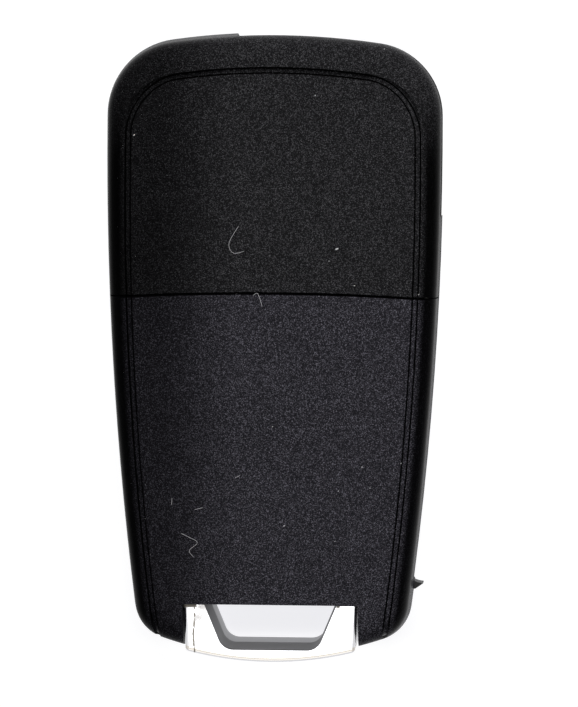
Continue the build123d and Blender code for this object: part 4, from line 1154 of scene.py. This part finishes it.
class BuildStage(Operator):
    """Set up the floor, the lamps, the surroundings and the camera"""

    bl_idname = "flip_key.build_stage"
    bl_label = "Stage"

    def execute(self, context):
        look = context.scene.flip_key_stage
        self.floor(look)
        self.surroundings(context, look)
        for name, (size, place) in LAMPS.items():
            self.lamp(name, getattr(look, name), size, place)
        self.camera(context, look)
        context.scene.view_settings.view_transform = "Standard"
        return {"FINISHED"}

    def floor(self, look):
        """Pale floor that shows white to the camera and to gloss, but for the shadow."""
        signs = ((-1, -1), (1, -1), (1, 1), (-1, 1))
        corners = [(x * FLOOR_HALF, y * FLOOR_HALF, -FLOOR_DROP) for x, y in signs]
        floor = new_piece("floor", corners, (), [(0, 1, 2, 3)])
        finish = Finish("floor", roughness=1.0, specular_ior_level=0.0, emission_strength=0.95)
        ray = finish.node("ShaderNodeLightPath")
        in_gloss = ray.other("Is Glossy Ray") * look.floor_gloss
        seen = ray.highest(in_gloss).highest(ray.other("Is Transmission Ray"))
        cloud = finish.noise(0.4, detail=1.0)
        finish.tint(shade(look.floor, 0.99), shade(look.floor, 1.01), cloud)
        x, y, _ = finish.axes()
        # Painted shadow: the floor's white is painted darker under the remote
        under = (1 - abs(x).rise(*SHADE_X)) * (1 - abs(y).rise(*SHADE_Y))
        lit = finish.blend(WHITE, shade(look.floor_shade), under)
        finish.set(emission_color=finish.blend(BLACK, lit, seen))
        from_below = finish.node("ShaderNodeNewGeometry", output="Backfacing")
        opened = from_below.highest(ray.other("Is Shadow Ray"))
        finish.cover(finish.node("ShaderNodeBsdfTransparent"), opened)
        floor.data.materials.append(finish.material)

    def surroundings(self, context, look):
        """White behind the remote for the camera, and a dim room for everything else."""
        world = bpy.data.worlds.new("surroundings")
        world.use_nodes = True
        context.scene.world = world
        tree = Tree(world.node_tree)
        background = world.node_tree.nodes["Background"]
        ray = tree.node("ShaderNodeLightPath")
        way = tree.node("ShaderNodeTexCoord", output="Generated")
        height = tree.node("ShaderNodeSeparateXYZ", {"Vector": way}, output="Z")
        sky = look.horizon + (1 - look.horizon) * height.rise(0.0, 0.7)
        gloss = ray.other("Is Glossy Ray") * look.gloss * sky
        seen = ray.highest(gloss).highest(ray.other("Is Transmission Ray"))
        tree.feed(background, color=WHITE, strength=seen.highest(look.ambient))

    def lamp(self, name, power, size, place):
        """Square softbox aimed at the remote."""
        lamp = bpy.data.lights.new(name, "AREA")
        lamp.energy, lamp.size = power, size
        holder = linked(name, lamp)
        holder.location = place
        holder.rotation_euler = (-Vector(place)).to_track_quat("-Z", "Y").to_euler()
        holder.visible_camera = False

    def camera(self, context, look):
        """Camera above the rear face, leaning a little to two sides."""
        data = bpy.data.cameras.new("camera")
        holder = linked("camera", data)
        across = (PHOTO_WIDTH / 2 - MIDDLE_PIXEL[0]) / PHOTO_SCALE
        along = (MIDDLE_PIXEL[1] - PHOTO_HEIGHT / 2) / PHOTO_SCALE
        away = Vector((math.tan(look.lean_x), math.tan(look.lean_y), 1.0)).normalized()
        right = Vector((0, 1, 0)).cross(away).normalized()
        turned = Matrix((right, away.cross(right), away)).transposed().to_4x4()
        place = Matrix.Translation(Vector((across, along, REAR_Z)) + away * look.distance)
        holder.matrix_world = place @ turned @ Matrix.Rotation(look.roll, 4, "Z")
        data.sensor_width = 36.0
        data.lens = data.sensor_width * look.distance * PHOTO_SCALE / PHOTO_HEIGHT
        data.clip_start, data.clip_end = 0.01, 10.0
        context.scene.camera = holder


class FlipKeyPanel(Panel):
    """Lists the steps that dress the remote"""

    bl_idname = "FLIP_KEY_PT_steps"
    bl_label = "Flip Key Remote"
    bl_space_type = "VIEW_3D"
    bl_region_type = "UI"
    bl_category = "Flip Key"

    def draw(self, context):
        for step in STEPS:
            self.layout.operator(step.bl_idname)
        for name, look in LOOKS.items():
            box = self.layout.box()
            box.label(text=look.__doc__)
            for key in look.__annotations__:
                box.prop(getattr(context.scene, name), key)


LOOKS = {
    "flip_key_shell": ShellLook,
    "flip_key_plating": PlatingLook,
    "flip_key_steel": SteelLook,
    "flip_key_caps": CapLook,
    "flip_key_board": BoardLook,
    "flip_key_dust": DustLook,
    "flip_key_stage": StageLook,
}
OUTER_STEPS = (DressShells, DressPlating, DressBlade, DressHub, DressCaps)
INNER_STEPS = (DressBoard, DressPower, DressScrews)
STEPS = (*OUTER_STEPS, *INNER_STEPS, LayDust, BuildStage)


def register():
    for name, look in LOOKS.items():
        bpy.utils.register_class(look)
        setattr(bpy.types.Scene, name, PointerProperty(type=look))
    for kind in (*STEPS, FlipKeyPanel):
        bpy.utils.register_class(kind)


def unregister():
    for kind in (FlipKeyPanel, *reversed(STEPS)):
        bpy.utils.unregister_class(kind)
    for name, look in LOOKS.items():
        delattr(bpy.types.Scene, name)
        bpy.utils.unregister_class(look)


def main():
    """Dresses the packed remote, step by step."""
    register()
    for step in STEPS:
        group, name = step.bl_idname.split(".")
        getattr(getattr(bpy.ops, group), name)()


if __name__ == "__main__":
    main()
